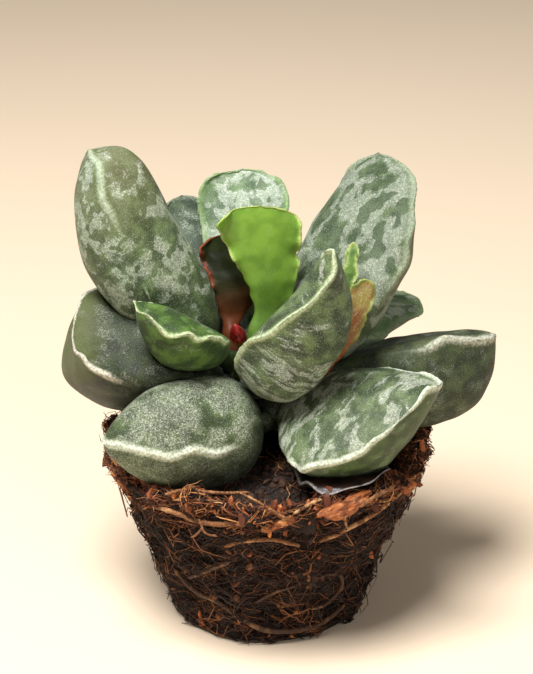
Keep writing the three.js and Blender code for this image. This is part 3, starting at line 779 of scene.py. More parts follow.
def leaf_form(leaf, t, angle, seed=0):
    """Points of the leaf's skin. angle runs round the section from the right margin over the
    upper face."""
    place, way, upper, right = leaf_spine(leaf, t)
    across, rise = np.cos(angle), np.sin(angle)
    neck = leaf["neck"]
    start = OUTLINE_START * neck
    body = np.clip((np.clip(t, 0, 1) - start) / (1 - start), 0, 1)
    root = leaf["stalk"] * (1 - smooth(0, STALK_END * neck, t))
    outline = [swell(body, leaf["widest"], leaf["shoulder"][k], leaf["apex"][k]) for k in (0, 1)]
    fill = [swell(body, leaf["thickest"], leaf["fullness"], leaf["wedge"][k]) for k in (0, 1)]
    half_width = np.where(across >= 0, leaf["width"][0] * outline[0], leaf["width"][1] * outline[1])
    half_depth = np.where(rise >= 0, leaf["depth"][0] * fill[0], leaf["depth"][1] * fill[1])
    half_width = np.hypot(half_width, root)
    half_depth = np.hypot(half_depth, root)
    sharpness = 1 + CREASE_SHARPNESS * smooth(leaf["crease"] - 0.15, leaf["crease"] + 0.35, t)
    x = half_width * across
    y = half_depth * np.sign(rise) * np.abs(rise) ** sharpness
    sharp_part = smooth(leaf["crease"] - 0.12, leaf["crease"] + 0.2, t)
    near = np.abs(across) ** MARGIN_FOCUS * sharp_part
    end = np.clip((1 - t) / TIP_SPAN, 0, 1)
    side = np.where(across >= 0, 1.0, -1.0)
    y = y + leaf["ruffle"] * np.sin(2 * math.pi * leaf["ruffles"] * t * side) * near * end
    y = y + leaf["cup"] * x * x / max(leaf["width"])
    lift = [leaf["lift"][k] * (x / leaf["width"][k]) ** 2 for k in (0, 1)]
    y = y + np.where(across >= 0, lift[0], lift[1])
    if seed:
        flat = place + right * x[..., None]
        ease = smooth(1.0, TIP_EASE, t)
        y = y + leaf["waver"] * lumps(flat, leaf["waver_size"], seed) * near * ease
        fold = np.abs(across) ** FOLD_FOCUS * smooth(0.1, 0.5, t) * leaf["crinkle"] * ease
        y = y + fold * lumps(flat, leaf["crinkle_size"], seed + 1) * 1.4
        x = x + fold * side * lumps(flat, leaf["crinkle_size"] * 0.8, seed + 2) * 0.8
    place = place + way * (leaf["skew"] * x * smooth(0.25, 1.0, t))[..., None]
    return place + right * x[..., None] + upper * y[..., None]


def ring_places(leaf, count):
    """Rings at even steps over the skin, on the stalk and on the blade."""
    fine = np.concatenate([np.linspace(-1, 0, 60)[:-1], 1 - np.linspace(1, 0, 1600) ** 3])
    run = np.zeros(len(fine) - 1)
    for angle in (0.0, 0.5 * math.pi, math.pi, 1.5 * math.pi):
        line = leaf_form(leaf, fine, np.full_like(fine, angle))
        run += np.linalg.norm(np.diff(line, axis=0), axis=1)
    run = np.concatenate([[0.0], np.cumsum(run)])
    return np.interp(np.linspace(0, run[-1], count + 2)[1:-1], run, fine)


def margin_distance(rings):
    """How far each point lies from the nearer margin, along its ring."""
    steps = np.linalg.norm(np.roll(rings, -1, axis=1) - rings, axis=-1)
    run = np.cumsum(steps, axis=1) - steps
    whole = steps.sum(axis=1, keepdims=True)
    left = run[:, rings.shape[1] // 2][:, None]
    from_right = np.minimum(run, whole - run)
    from_left = np.abs(run - left)
    return np.minimum(from_right, np.minimum(from_left, whole - from_left))


def grow_leaf(number, name, leaf, skin, grown):
    leaf = {**COMMON_LEAF, **KINDS[leaf.get("kind", "big")], **leaf}
    seed = 100 + 10 * number
    turn = full_turn(leaf["sides"])
    angle = turn - leaf["gather"] * np.sin(2 * turn) / 2
    t, angle = np.meshgrid(ring_places(leaf, leaf["rings"]), angle, indexing="ij")
    rings = leaf_form(leaf, t, angle, seed)
    blade = smooth(0.0, 0.25, t)
    uneven = lumps(rings, 9.0, seed + 3) + 0.45 * lumps(rings, 4.0, seed + 4)
    rings = rings + way_out(rings) * (leaf["undulation"] * uneven * blade)[..., None]

    away = margin_distance(rings)
    sharp_part = smooth(leaf["crease"] - 0.1, leaf["crease"] + 0.15, t)
    crest_size = 0.85 + 0.3 * lumps(rings, 2.2, seed + 5) + 0.3 * lumps(rings, 0.8, seed + 6)
    crest = np.exp(-((away / leaf["bead_width"]) ** 2)) * sharp_part
    rings = rings + way_out(rings) * (leaf["bead"] * crest_size * crest)[..., None]
    rim = np.exp(-((away / (RIM_SPREAD * leaf["bead_width"])) ** 2)) * sharp_part

    top = leaf_form(leaf, np.array([1.0]), np.array([0.0]))[0]
    top = top + leaf_spine(leaf, np.array([1.0]))[1][0] * leaf["bead"]
    foot = leaf_spine(leaf, np.array([-1.0]))[0][0]
    points, faces = ring_skin(rings, foot, top)
    share = np.concatenate([t.ravel(), [-1.0, 1.0]])
    if leaf["kind"] == "young":
        points = make_room_whole(points, share, grown, leaf["sides"])
    else:
        points = make_room(points, share, grown)

    material = leaf_finish(name + "_skin", leaf, skin)
    piece = new_piece(name + "_grown", points, faces, material, [name])
    axes = np.stack(leaf_axes(leaf), axis=1)
    store(piece, "leaf_place", (points - np.array(leaf["base"])) @ axes + 40.0 * number)
    rise = np.concatenate([(0.5 + 0.5 * np.sin(angle)).ravel(), [0.5, 0.5]])
    edge = np.concatenate([rim.ravel(), [0.0, 1.0]])
    store(piece, "leaf_zone", np.stack([edge, np.clip(share, 0, 1), rise], axis=1))
    tree = BVHTree.FromPolygons(points.tolist(), faces)
    grown.append((points.min(axis=0), points.max(axis=0), tree))


def make_room(points, share, grown):
    """A blade gives way to those grown before it, so that no two run into each other."""
    for obstacle in grown:
        points = points + pushes(points, share, obstacle)
    return points


def pushes(points, share, obstacle):
    low, high, tree = obstacle
    push = np.zeros_like(points)
    inside = np.all((points > low) & (points < high), axis=1) & (share > 0.0)
    for i in np.nonzero(inside)[0]:
        place = Vector(points[i])
        spot, out, _, _ = tree.find_nearest(place)
        depth = (place - spot).dot(out)
        if depth < SKIN_CLEARANCE and (place - spot).length < PUSH_REACH:
            push[i] = spot + out * SKIN_CLEARANCE - place
    return push


def make_room_whole(points, share, grown, sides):
    """A thin blade gives way ring by ring, so that it keeps its section."""
    weights = np.hanning(RING_REACH + 2)[1:-1]
    for _ in range(PUSH_ROUNDS):
        for obstacle in grown:
            push = pushes(points, share, obstacle)[:-2].reshape(-1, sides, 3)
            if not push.any():
                continue
            most = np.linalg.norm(push, axis=2).argmax(axis=1)
            ring_push = push[np.arange(len(push)), most]
            padded = np.pad(ring_push, ((RING_REACH // 2, RING_REACH // 2), (0, 0)), mode="edge")
            eased = [np.convolve(padded[:, k], weights / weights.sum(), "valid") for k in range(3)]
            eased = np.stack(eased, axis=1)
            poles = [0 * eased[0], eased[-1]]
            points = points + np.concatenate([np.repeat(eased, sides, axis=0), poles])
    return points


# Stem and bud

def lathe(profile, centre, sides):
    """Rings about an upright axis from (radius, height) pairs, going upwards on the outside. They
    run so that their skin faces outwards."""
    turn = full_turn(sides)[::-1]
    radius, height = np.array(profile).T[:, :, None]
    x = centre[0] + radius * np.cos(turn)
    y = centre[1] + radius * np.sin(turn)
    return np.stack([x, y, height + 0 * x], axis=-1)


def stem_finish():
    material, place = new_material("stem_skin")
    soft = cloud(place, 420.0, 3.0)
    fine = cloud(place, 1500.0)
    height = add("ShaderNodeSeparateXYZ", {0: place}, pick=2)
    color = blend(fade(soft, 0.35, 0.65), (120, 132, 66), (158, 162, 92))
    color = blend(fade(height, 0.033, 0.0255) * 0.8, color, (96, 74, 48))
    color = blend(fade(fine, 0.55, 0.7) * 0.35, color, (104, 92, 54))
    return dress(material, color, fade(fine, 0.3, 0.7, 0.45, 0.65), soft + fine, 0.00015)


def grow_stem():
    heights = np.linspace(STEM_FOOT, STEM_TOP - 0.4, 56)
    share = np.clip((heights - SOIL_LEVEL) / (STEM_TOP - SOIL_LEVEL), 0, 1)
    radius = STEM_THICK * (1 - share) + STEM_THIN * share
    radius *= 1 - 0.45 * smooth(SOIL_LEVEL, STEM_FOOT, heights)
    radius *= 1 - 0.5 * smooth(STEM_TOP - 1.4, STEM_TOP, heights) ** 2
    rings = lathe(list(zip(radius, heights)), STEM_PLACE, 72)
    bearing = np.arctan2(rings[..., 1], rings[..., 0] - STEM_PLACE[0])
    scars = SCAR_DEPTH * np.cos(rings[..., 2] * 2 * math.pi / SCAR_STEP + bearing)
    uneven = 0.2 * lumps(rings, 3.0, 11) + scars - SCAR_DEPTH
    rings = rings + way_out(rings) * uneven[..., None]
    points, faces = ring_skin(rings, [*STEM_PLACE, STEM_FOOT - 0.3], [*STEM_PLACE, STEM_TOP])
    new_piece("stem_grown", points, faces, stem_finish(), ["stem"])


def bud_finish():
    material, place = new_material("bud_skin")
    soft = cloud(place, 900.0)
    height = add("ShaderNodeSeparateXYZ", {0: place}, pick=2)
    color = blend(fade(soft, 0.35, 0.65), (84, 10, 12), (142, 24, 22))
    color = blend(fade(height, 0.0436, 0.0424) * 0.7, color, (128, 120, 52))
    return dress(
        material, color, fade(soft, 0.3, 0.7, 0.22, 0.42), soft, 0.0001,
        Subsurface_Weight=0.2, Subsurface_Radius=(1.0, 0.2, 0.1), Subsurface_Scale=0.001,
    )


def grow_bud():
    """Two small folded leaves in a pointed drop."""
    share = np.linspace(0.03, 0.985, 40)[:, None]
    radius = BUD_RADIUS * np.sin(math.pi * share**0.8) ** 0.7
    turn = full_turn(64)
    fold = 1.0
    for seam in (0.9, 4.1):
        fold = fold - 0.16 * np.exp(-((np.angle(np.exp(1j * (turn - seam))) / 0.3) ** 2))
    x = radius * fold * np.cos(turn)
    y = radius * fold * np.sin(turn) * 0.9
    rings = np.stack([x, y, BUD_HEIGHT * share + 0 * x], axis=-1)[:, ::-1]
    rings = rings + way_out(rings) * (0.07 * lumps(rings, 1.2, 21))[..., None]
    points, faces = ring_skin(rings, [0, 0, 0], [0, 0, BUD_HEIGHT])
    tilt, lean = math.radians(12), math.radians(-14)
    x, y, z = points.T
    y, z = y * math.cos(tilt) - z * math.sin(tilt), y * math.sin(tilt) + z * math.cos(tilt)
    x, z = x * math.cos(lean) + z * math.sin(lean), z * math.cos(lean) - x * math.sin(lean)
    points = np.stack([x, y, z], axis=1) + np.array([*(STEM_PLACE + [-1.2, -1.5]), STEM_TOP + 0.8])
    new_piece("bud_grown", points, faces, bud_finish(), ["growing_bud"])


# Plug, soil and fibres

def coir_finish(name, shades):
    """Fibre and crumb finish: each fibre takes its own shade from its tone."""
    material, place = new_material(name)
    streak = cloud(place, 1400.0)
    mixed = (streak - 0.5) * 0.35 + attribute(place.tree, "tone", "Fac")
    ramp = add("ShaderNodeValToRGB", {0: (cloud(place, 160.0) - 0.5) * 0.5 + mixed})
    spots = ramp.socket.node.color_ramp.elements
    for k, (where, color) in enumerate(shades):
        spot = spots[k] if k < 2 else spots.new(where)
        spot.position = where
        spot.color = paint(*color)
    return dress(material, ramp, fade(streak, 0.3, 0.7, 0.7, 0.85), streak, 0.00008)


def core_shade_finish():
    # painted shade: the core is near black, so that the gaps between the fibres look deep and shaded
    material, place = new_material("coir_core_shade")
    clump = cloud(place, 260.0, 4.0, 0.6)
    threads = fade(abs(cloud(place, 1100.0, 3.0, 0.6, 1.4) - 0.5), 0.06, 0.01)
    color = blend(fade(clump, 0.38, 0.62), (14, 8, 5), (34, 18, 11))
    color = blend(threads * 0.6, color, (62, 34, 18))
    return dress(material, color, fade(clump, 0.3, 0.7, 0.85, 1.0), threads * 0.6 + clump, 0.0005)


def plug_profile():
    """(radius, height) pairs at even steps: underside, wall, round lip, dish."""
    lip_start = PLUG_HEIGHT - LIP_WIDTH / 2
    corners = [(0.6, 0.0), (BASE_RADIUS - 0.9, 0.0), (BASE_RADIUS - 0.3, 0.25)]
    for height in np.linspace(0.8, lip_start, 24):
        corners.append((float(wall_radius(height)), float(height)))
    reach = LIP_WIDTH / 2
    lip_centre = float(wall_radius(lip_start)) - reach
    for turn in np.radians(np.linspace(15, 165, 9)):
        corners.append((lip_centre + reach * math.cos(turn), lip_start + reach * math.sin(turn)))
    corners += [(lip_centre - 1.6, SOIL_LEVEL), (DISH_RADIUS, DISH_FLOOR), (0.6, DISH_FLOOR)]
    return evenly(np.array(corners), 150)


def plug_rings():
    """The plug's lumpy skin. Its underside stays flat."""
    rings = lathe(plug_profile(), (0, 0), 300)
    height = rings[..., 2]
    outside = np.hypot(rings[..., 0], rings[..., 1])
    free = smooth(0.15, 1.6, height) * smooth(8.0, 13.0, outside)
    uneven = 0.7 * lumps(rings, 7.0, 31) + 0.5 * lumps(rings, 2.8, 32) + 0.35 * lumps(rings, 1.2, 33)
    ragged = smooth(24.5, 27.0, height)
    uneven = uneven * (1 + 0.5 * ragged) - 0.7 - 0.2 * ragged
    rings = rings + way_out(rings) * (uneven * free)[..., None]
    rings[..., 2] = np.maximum(rings[..., 2], 0.0)
    return rings


def bed_of(strip):
    """A strip of skin, for fibres and crumbs to grow from."""
    return strip.reshape(-1, 3), band(*strip.shape[:2])


def chance(seed, step, low, high, kind="FLOAT"):
    """A value by chance for each fibre or crumb."""
    first, pick = (0, 0) if kind == "FLOAT_VECTOR" else (2, 1)
    feeds = {first: low, first + 1: high, 8: seed + float(step)}
    return add("FunctionNodeRandomValue", feeds, pick=pick, data_type=kind)


def scatter(skin, density, seed):
    """Points strewn on a skin, each with its own tone."""
    feeds = {"Mesh": skin, "Density": density, "Seed": seed}
    spread = add("GeometryNodeDistributePointsOnFaces", feeds, pick="Points")
    feeds = {"Geometry": spread, "Name": "tone", "Value": chance(seed, 1, 0.0, 1.0)}
    toned = add("GeometryNodeStoreNamedAttribute", feeds, data_type="FLOAT", domain="POINT")
    return toned, spread["Normal"]


def lay(points, thing, turn, size):
    """The thing on every point, as plain geometry."""
    feeds = {"Points": points, "Instance": thing, "Rotation": turn, "Scale": size}
    return add("GeometryNodeRealizeInstances", {"Geometry": add("GeometryNodeInstanceOnPoints", feeds)})


def fibre_tree():
    """Fibres that lie on a skin. Each is a line laid down at a random turn, bent by a cloud and
    drawn back to the skin, with its ends a little proud."""
    tree, given, result = new_group(
        "coir fibres", "GeometryNodeTree", dict(Fibres="Geometry"),
        Geometry=["Skin"], Int=["Points", "Seed"], Material=["Finish"],
        Float=["Fibres per Area", "Length", "Thickness", "Bend", "Lift", "Loose End", "Level Share"],
    )
    skin, seed, bend = given["Skin"], given["Seed"], given["Bend"]

    # fibres gather in tufts and leave dark hollows between them
    here = add("GeometryNodeInputPosition", tree=tree)
    tufts = fade(cloud(here, 300.0), 0.38, 0.62, 0.3, 1.7)
    points, normal = scatter(skin, given["Fibres per Area"] * tufts, seed)
    half = given["Length"] * 0.5
    ends = {"Start": half * -1.0, "End": half}
    ends = {end: add("ShaderNodeCombineXYZ", {0: reach}) for end, reach in ends.items()}
    line = add("GeometryNodeCurvePrimitiveLine", ends)
    line = add("GeometryNodeResampleCurve", {"Curve": line, "Count": given["Points"]})

    # the line lies level round the plug at first, and then turns by chance
    turned = add("FunctionNodeAlignRotationToVector", {"Vector": normal}, axis="Z")
    feeds = {"Rotation": turned, "Vector": calc("CROSS_PRODUCT", normal, (0.0, 0.0, 1.0))}
    turned = add("FunctionNodeAlignRotationToVector", feeds, axis="X", pivot_axis="Z")
    swing = chance(seed, 2, -1.6, 1.6) * (1.0 - given["Level Share"])
    twist = add("FunctionNodeAxisAngleToRotation", {"Axis": (0.0, 0.0, 1.0), "Angle": swing})
    feeds = {"Rotation": turned, "Rotate By": twist}
    turned = add("FunctionNodeRotateRotation", feeds, rotation_space="LOCAL")
    size = add("ShaderNodeCombineXYZ", {0: chance(seed, 3, 0.4, 1.6), 1: 1.0, 2: 1.0})
    laid = lay(points, line, turned, size)

    # bent by two clouds, shifted for each fibre, and drawn back to the skin
    tone = add("GeometryNodeInputNamedAttribute", {"Name": "tone"}, tree=tree, data_type="FLOAT")
    own = tone * 0.37
    shifted = here + add("ShaderNodeCombineXYZ", {0: own, 1: own, 2: own})
    bent = here + sway(shifted, 260.0, 1.0) * (bend * 4.0) + sway(shifted, 900.0, 0.0) * bend
    feeds = {"Geometry": skin, "Sample Position": bent}
    near = add("GeometryNodeProximity", feeds, pick="Position", target_element="FACES")
    skin_normal = add("GeometryNodeInputNormal", tree=tree)
    feeds = {"Mesh": skin, "Value": skin_normal, "Sample Position": bent}
    out = add("GeometryNodeSampleNearestSurface", feeds, data_type="FLOAT_VECTOR")
    share = add("GeometryNodeSplineParameter", tree=tree, pick="Factor")
    loose = share**3.0 * (given["Loose End"] * calc("FRACT", tone * 17.3) ** 3.0)
    lift = given["Lift"] * calc("FRACT", tone * 7.9) + loose
    placed = add("GeometryNodeSetPosition", {"Geometry": laid, "Position": near + out * lift})

    taper = 1.0 - abs(share * 2.0 - 1.0) ** 3.0 * 0.6
    thick = (calc("FRACT", tone * 31.7) * 1.1 + 0.45) * given["Thickness"] * taper
    ring = add("GeometryNodeCurvePrimitiveCircle", {"Resolution": 3, "Radius": 1.0}, tree=tree)
    feeds = {"Curve": placed, "Profile Curve": ring, "Scale": thick, "Fill Caps": True}
    body = add("GeometryNodeCurveToMesh", feeds)
    body = add("GeometryNodeSetShadeSmooth", {"Geometry": body, "Shade Smooth": True})
    body = add("GeometryNodeSetMaterial", {"Geometry": body, "Material": given["Finish"]})
    feed(result["Fibres"], body)
    return tree


def crumb_tree():
    """Crumbs strewn over a skin: small blunt lumps of many sizes."""
    tree, given, result = new_group(
        "crumbs", "GeometryNodeTree", dict(Crumbs="Geometry"),
        Geometry=["Skin"], Int=["Seed"], Material=["Finish"],
        Float=["Crumbs per Area", "Smallest", "Largest", "Flatness"],
    )
    seed, flatness = given["Seed"], given["Flatness"]
    points, _ = scatter(given["Skin"], given["Crumbs per Area"], seed)
    lump = add("GeometryNodeMeshIcoSphere", {"Radius": 1.0, "Subdivisions": 1}, tree=tree)
    few = chance(seed, 2, 0.0, 1.0) ** 3.0
    wide = fade(few, 0.0, 1.0, given["Smallest"], given["Largest"], "LINEAR")
    shape = chance(seed, 3, (0.6, 0.5, 0.4), (1.4, 1.0, 0.9), "FLOAT_VECTOR")
    slim = add("ShaderNodeCombineXYZ", {0: flatness, 1: 1.0, 2: calc("DIVIDE", 1.0, flatness)})
    turn = chance(seed, 4, (-3.1, -3.1, -3.1), (3.1, 3.1, 3.1), "FLOAT_VECTOR")
    laid = lay(points, lump, turn, shape * wide * slim)
    rough = sway(add("GeometryNodeInputPosition", tree=tree), 1800.0, 1.0) * 0.00016
    laid = add("GeometryNodeSetPosition", {"Geometry": laid, "Offset": rough})
    laid = add("GeometryNodeSetMaterial", {"Geometry": laid, "Material": given["Finish"]})
    feed(result["Crumbs"], laid)
    return tree


def strew(name, bed, tree, finish, seed, slot="coir", keep_above=0.0, **sizes):
    """Runs a tree on a carrier skin and keeps only the plain mesh that it makes."""
    carrier = show(name + "_carrier", smooth_mesh(name + "_skin", *bed))
    modifier = carrier.modifiers.new("spread", "NODES")
    modifier.node_group = tree
    sockets = {s.name: s.identifier for s in tree.interface.items_tree if s.in_out == "INPUT"}
    for label, value in dict(sizes, Seed=seed, Finish=finish).items():
        modifier[sockets[label.replace("_", " ")]] = value
    bpy.context.view_layer.update()
    graph = bpy.context.evaluated_depsgraph_get()
    made = bpy.data.meshes.new_from_object(carrier.evaluated_get(graph))
    bpy.data.objects.remove(carrier)
    made.name = name
    made.materials.clear()
    made.materials.append(finish)
    made.polygons.foreach_set("material_index", [0] * len(made.polygons))
    flat = np.zeros(len(made.vertices) * 3)
    made.vertices.foreach_get("co", flat)
    flat = flat.reshape(-1, 3)
    flat[:, 2] = np.maximum(flat[:, 2], keep_above * MM)
    outside = np.hypot(flat[:, 0], flat[:, 1])
    beyond = np.maximum(outside - REACH_LIMIT * MM, 0.0)
    flat[:, :2] *= (1 - DRAWN_IN * beyond / np.maximum(outside, MM))[:, None]
    made.vertices.foreach_set("co", flat.ravel())
    made.update()
    settle(show(name, made))


def make_plug():
    rings = plug_rings()
    points, faces = ring_skin(rings, [0, 0, 0], [0, 0, DISH_FLOOR])
    new_piece("plug_core", points, faces, core_shade_finish(), ["root_plug"])
    height = rings[:, :, 2].mean(axis=1)
    wall_first = int(np.argmax(height > 0.5))
    lip_first = int(np.argmax(height > LIP_FROM))
    lip_last = len(height) - int(np.argmax((height[::-1] > SOIL_LEVEL - 0.3)))
    wall = bed_of(rings[wall_first:lip_first + LIP_OVERLAP])
    lip = bed_of(rings[lip_first:lip_last])
    fibres, crumbs = fibre_tree(), crumb_tree()
    # painted shade: the wall's fibres and crumbs take darker shades than the lip's, for the shade that
    # the leaves cast on the wall
    shaded_coir = coir_finish(
        "coir_wall_shaded",
        [(0.0, (16, 8, 5)), (1.0, (146, 92, 50)), (0.45, (36, 17, 9)), (0.82, (74, 38, 19))],
    )
    bright_coir = coir_finish(
        "coir_lip",
        [(0.0, (26, 13, 8)), (1.0, (224, 162, 102)), (0.4, (70, 35, 18)), (0.76, (142, 76, 36))],
    )
    rust = coir_finish(
        "coir_flakes",
        [(0.0, (40, 18, 9)), (1.0, (216, 142, 82)), (0.45, (106, 50, 22)), (0.8, (170, 92, 44))],
    )
    strew(
        "wall_fibres", wall, fibres, shaded_coir, 3, keep_above=0.05, Fibres_per_Area=9.8e5, Points=7,
        Length=0.0062, Thickness=0.000082, Bend=0.0012, Lift=0.0005, Loose_End=0.0011,
        Level_Share=0.25,
    )
    strew(
        "lip_fibres", lip, fibres, bright_coir, 11, Fibres_per_Area=2.2e6, Points=7,
        Length=0.0046, Thickness=0.000078, Bend=0.0011, Lift=0.0007, Loose_End=0.0014,
        Level_Share=0.3,
    )
    strew(
        "long_fibres", wall, fibres, shaded_coir, 23, keep_above=0.05, Fibres_per_Area=5.0e4, Points=26,
        Length=0.02, Thickness=0.00012, Bend=0.0026, Lift=0.0007, Loose_End=0.0012,
        Level_Share=0.5,
    )
    strew(
        "wall_crumbs", wall, crumbs, shaded_coir, 31, keep_above=0.02, Crumbs_per_Area=6.0e5,
        Smallest=0.00015, Largest=0.0009, Flatness=1.0,
    )
    strew(
        "wall_flakes", wall, crumbs, rust, 35, keep_above=0.02, Crumbs_per_Area=3.5e4,
        Smallest=0.0003, Largest=0.0011, Flatness=1.7,
    )
    strew(
        "lip_flakes", lip, crumbs, rust, 37, Crumbs_per_Area=3.6e5,
        Smallest=0.0003, Largest=0.0013, Flatness=1.8,
    )
    make_soil(fibres, crumbs, bright_coir)


def soil_finish(name, light, dark):
    material, place = new_material(name)
    clump = cloud(place, 500.0, 4.0, 0.6)
    fine = cloud(place, 2400.0, 3.0, 0.6)
    share = attribute(place.tree, "tone", "Fac") * 0.5 + fade(clump, 0.36, 0.64) * 0.5
    color = blend(share, dark, light)
    color = blend(fade(fine, 0.58, 0.7) * 0.4, color, (122, 84, 54))
    return dress(material, color, fade(fine, 0.3, 0.7, 0.8, 1.0), clump + fine, 0.0004)


def make_soil(fibres, crumbs, bright_coir):
    floor = DISH_FLOOR + 0.3
    edge = DISH_RADIUS + 1.3
    profile = [(0.5, floor), (10.0, floor), (DISH_RADIUS - 0.4, floor), (edge, SOIL_LEVEL)]
    for share in np.linspace(0.0, 1.0, 42)[1:]:
        mound = SOIL_MOUND * smooth(0.0, 1.0, share)
        profile.append((edge * (1 - share) + 0.5 * share, SOIL_LEVEL + mound))
    rings = lathe(profile, (0, 0), 160)
    top = (rings[..., 2] > SOIL_LEVEL - 0.5)[..., None]
    uneven = 0.4 * lumps(rings, 4.0, 41) + 0.28 * lumps(rings, 1.7, 42) + 0.16 * lumps(rings, 0.8, 43)
    rings = rings + way_out(rings) * uneven[..., None] * top
    points, faces = ring_skin(rings, [0, 0, floor], [0, 0, SOIL_LEVEL + SOIL_MOUND])
    # the soil's own dark browns, darkened further as painted shade under the leaves
    ground = soil_finish("soil_ground", (36, 23, 16), (14, 9, 7))
    grit = soil_finish("soil_crumbs", (84, 54, 33), (20, 13, 9))
    new_piece("soil_bed", points, faces, ground, ["potting_soil"])
    bed = bed_of(rings[4:])
    strew(
        "soil_crumbs", bed, crumbs, grit, 43, "soil", Crumbs_per_Area=2.7e6, Smallest=0.00012,
        Largest=0.0009, Flatness=1.0,
    )
    strew(
        "soil_fibres", bed, fibres, bright_coir, 51, Fibres_per_Area=3.4e5, Points=7, Length=0.005,
        Thickness=0.000075, Bend=0.0011, Lift=0.0006, Loose_End=0.0013, Level_Share=0.0,
    )


def wood_finish(name, dark, mid, light):
    """Root, straw and bark: grain along the piece, with darker hollows."""
    material, place = new_material(name, "grain_place")
    grain = cloud(place * (3.4, 3.4, 0.7), 1.0, 3.0, 0.6, 0.6)
    color = blend(fade(grain, 0.36, 0.62), dark, mid)
    color = blend(fade(cloud(place, 0.55), 0.5, 0.7, 0.0, 0.8), color, light)
    return dress(material, color, fade(grain, 0.3, 0.7, 0.6, 0.9), grain, 0.00018)


def on_wall(path, clear):
    """Points that lie clear of the wall, from their bearings and heights."""
    points = []
    for bearing, height in path:
        radius = wall_radius(height) + clear
        turn = math.radians(bearing)
        points.append((radius * math.cos(turn), radius * math.sin(turn), height))
    return points


def lay_strand(name, path, radius, material, seed, nodes=()):
    curve = smooth_path(path, max(16, 9 * len(path)))
    sag = 0.25 * radius * lumps(curve, 3.0, seed + 7)
    curve = curve + unit(curve * [1, 1, 0]) * sag[:, None]
    points, faces = tube(curve, radius, seed)
    piece = new_piece(name, points, faces, material, nodes)
    # the grain runs along the strand
    run = run_of(curve)
    along = np.concatenate([np.repeat(run, STRAND_SIDES), [0.0, run[-1]]])
    store(piece, "grain_place", np.stack([points[:, 0], points[:, 2], along], axis=1))


def make_strands():
    root_skin = wood_finish("root_skin", (42, 24, 13), (78, 49, 28), (132, 94, 58))
    straw_skin = wood_finish("straw_skin", (92, 54, 28), (150, 98, 54), (206, 158, 108))
    for k, (name, (radius, path)) in enumerate(ROOTS.items()):
        path = on_wall(path, radius * ROOT_CLEAR)
        lay_strand(name + "_laid", path, radius * ROOT_THIN, root_skin, 60 + k, [name])
    for k, (name, (radius, path)) in enumerate(COIR_STRANDS.items()):
        path = on_wall(path, radius * STRAND_CLEAR)
        lay_strand(name + "_laid", path, radius, straw_skin, 80 + k, [name])
    for k, (radius, path) in enumerate(RIM_STRAWS):
        lay_strand(f"rim_straw_{k + 1}", path, radius, straw_skin, 95 + k)


def cut_chip(name, chip, material, seed):
    """A flat flake with blunt ends and creases along its length."""
    start, end = np.array(chip["start"], float), np.array(chip["end"], float)
    along = unit(end - start)
    face = np.array(chip["facing"], float)
    face = unit(face - along * (face @ along))
    across = np.cross(face, along)
    half = np.linalg.norm(end - start) / 2
    share = np.linspace(-0.985, 0.985, 64)
    turn = full_turn(56)
    wide = chip["width"] / 2 * np.sqrt(np.clip(1 - np.abs(share) ** 2.6, 0, 1)) * (0.9 + 0.16 * share)
    thick = chip["thickness"] / 2 * np.clip(1 - np.abs(share) ** 3.2, 0, 1) ** 0.45
    cosine, sine = np.cos(turn), np.sin(turn)
    x = wide[:, None] * np.sign(cosine) * np.abs(cosine) ** 0.8
    z = thick[:, None] * np.sign(sine) * np.abs(sine) ** 0.7
    y = half * share[:, None] + 0 * x
    x = x + 0.16 * chip["width"] * np.sin(2.2 * share[:, None] + seed)
    flat = np.stack([x * 3.0, y * 0.55, z * 1.5], axis=-1)
    crease = lumps(flat, 2.4, seed) + 0.8 * lumps(flat, 1.1, seed + 1)
    middle = (start + end) / 2
    rings = middle + along * y[..., None] + across * x[..., None] + face * z[..., None]
    rings = rings[:, ::-1]
    rings = rings + way_out(rings) * (CHIP_CREASE * crease[:, ::-1])[..., None]
    points, faces = ring_skin(rings, middle - along * half, middle + along * half)
    piece = new_piece(name + "_cut", points, faces, material, [name])
    local = (points - middle) @ np.stack([across, face, along], axis=1)
    store(piece, "grain_place", local + 9.0 * seed)


# The whole plant

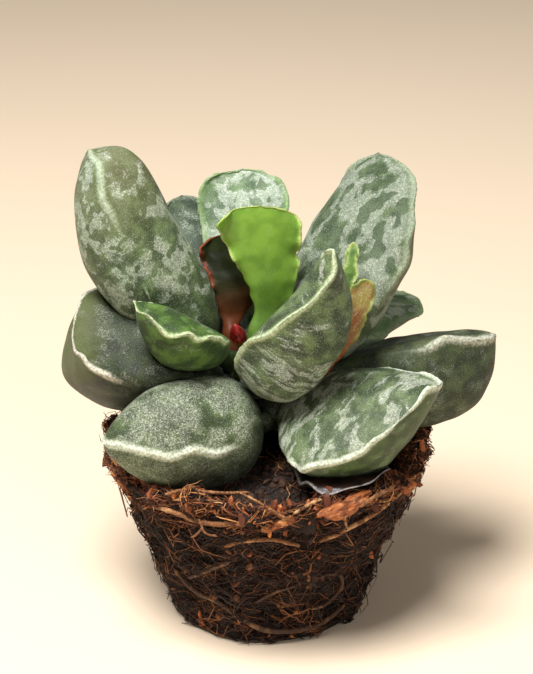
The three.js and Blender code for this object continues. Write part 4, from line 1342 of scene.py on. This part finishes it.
def grow_plant():
    skin = frosted_skin()
    grown = []
    for number, (name, leaf) in enumerate(LEAVES.items()):
        grow_leaf(number, name, leaf, skin, grown)
    grow_stem()
    grow_bud()
    make_plug()
    make_strands()
    bark_skin = wood_finish("bark_skin", (96, 46, 20), (176, 100, 48), (226, 164, 108))
    for k, (name, chip) in enumerate(BARK_CHIPS.items()):
        cut_chip(name, chip, bark_skin, 5 + k)


# Floor, light and camera

def set_stage():
    mesh = bpy.data.meshes.new("floor")
    mesh.from_pydata([(-4, -4, 0), (4, -4, 0), (4, 4, 0), (-4, 4, 0)], [], [(0, 1, 2, 3)])
    floor = show("floor", mesh)
    material, place = new_material("floor_paper")
    soft = cloud(place, 3.0)
    color = blend(fade(soft, 0.3, 0.7), (238, 215, 188), (241, 219, 193))
    mesh.materials.append(dress(material, color, 0.9))

    world = bpy.data.worlds.new("studio")
    bpy.context.scene.world = world
    world.use_nodes = True
    sky = world.node_tree.nodes["Background"]
    sky.inputs["Color"].default_value = paint(250, 244, 234)
    sky.inputs["Strength"].default_value = 0.15

    add_light("overhead", (-0.12, -0.17, 0.56), 0.26, 6.1, (250, 251, 250))
    add_light("front_fill", (0.22, -0.5, 0.42), 0.24, 0.7, (250, 251, 250))


def add_light(name, place, size, power, color):
    lamp = bpy.data.lights.new(name, "AREA")
    lamp.shape = "DISK"
    lamp.size = size
    lamp.energy = power
    lamp.color = paint(*color)[:3]
    light = show(name, lamp)
    light.location = place
    light.rotation_euler = (LIGHT_AIM - Vector(place)).to_track_quat("-Z", "Y").to_euler()


def set_camera():
    lens = bpy.data.cameras.new("camera")
    lens.lens = 100
    lens.sensor_width = 36
    lens.sensor_fit = "AUTO"
    lens.clip_start = 0.01
    camera = show("camera", lens)
    camera.location = (-0.00007, -0.2511, 0.1505)
    camera.rotation_euler = (math.radians(90 - 23.16), 0, 0)
    bpy.context.scene.camera = camera
    bpy.context.scene.view_settings.view_transform = "Standard"


grow_plant()
set_stage()
set_camera()

bpy.context.view_layer.update()
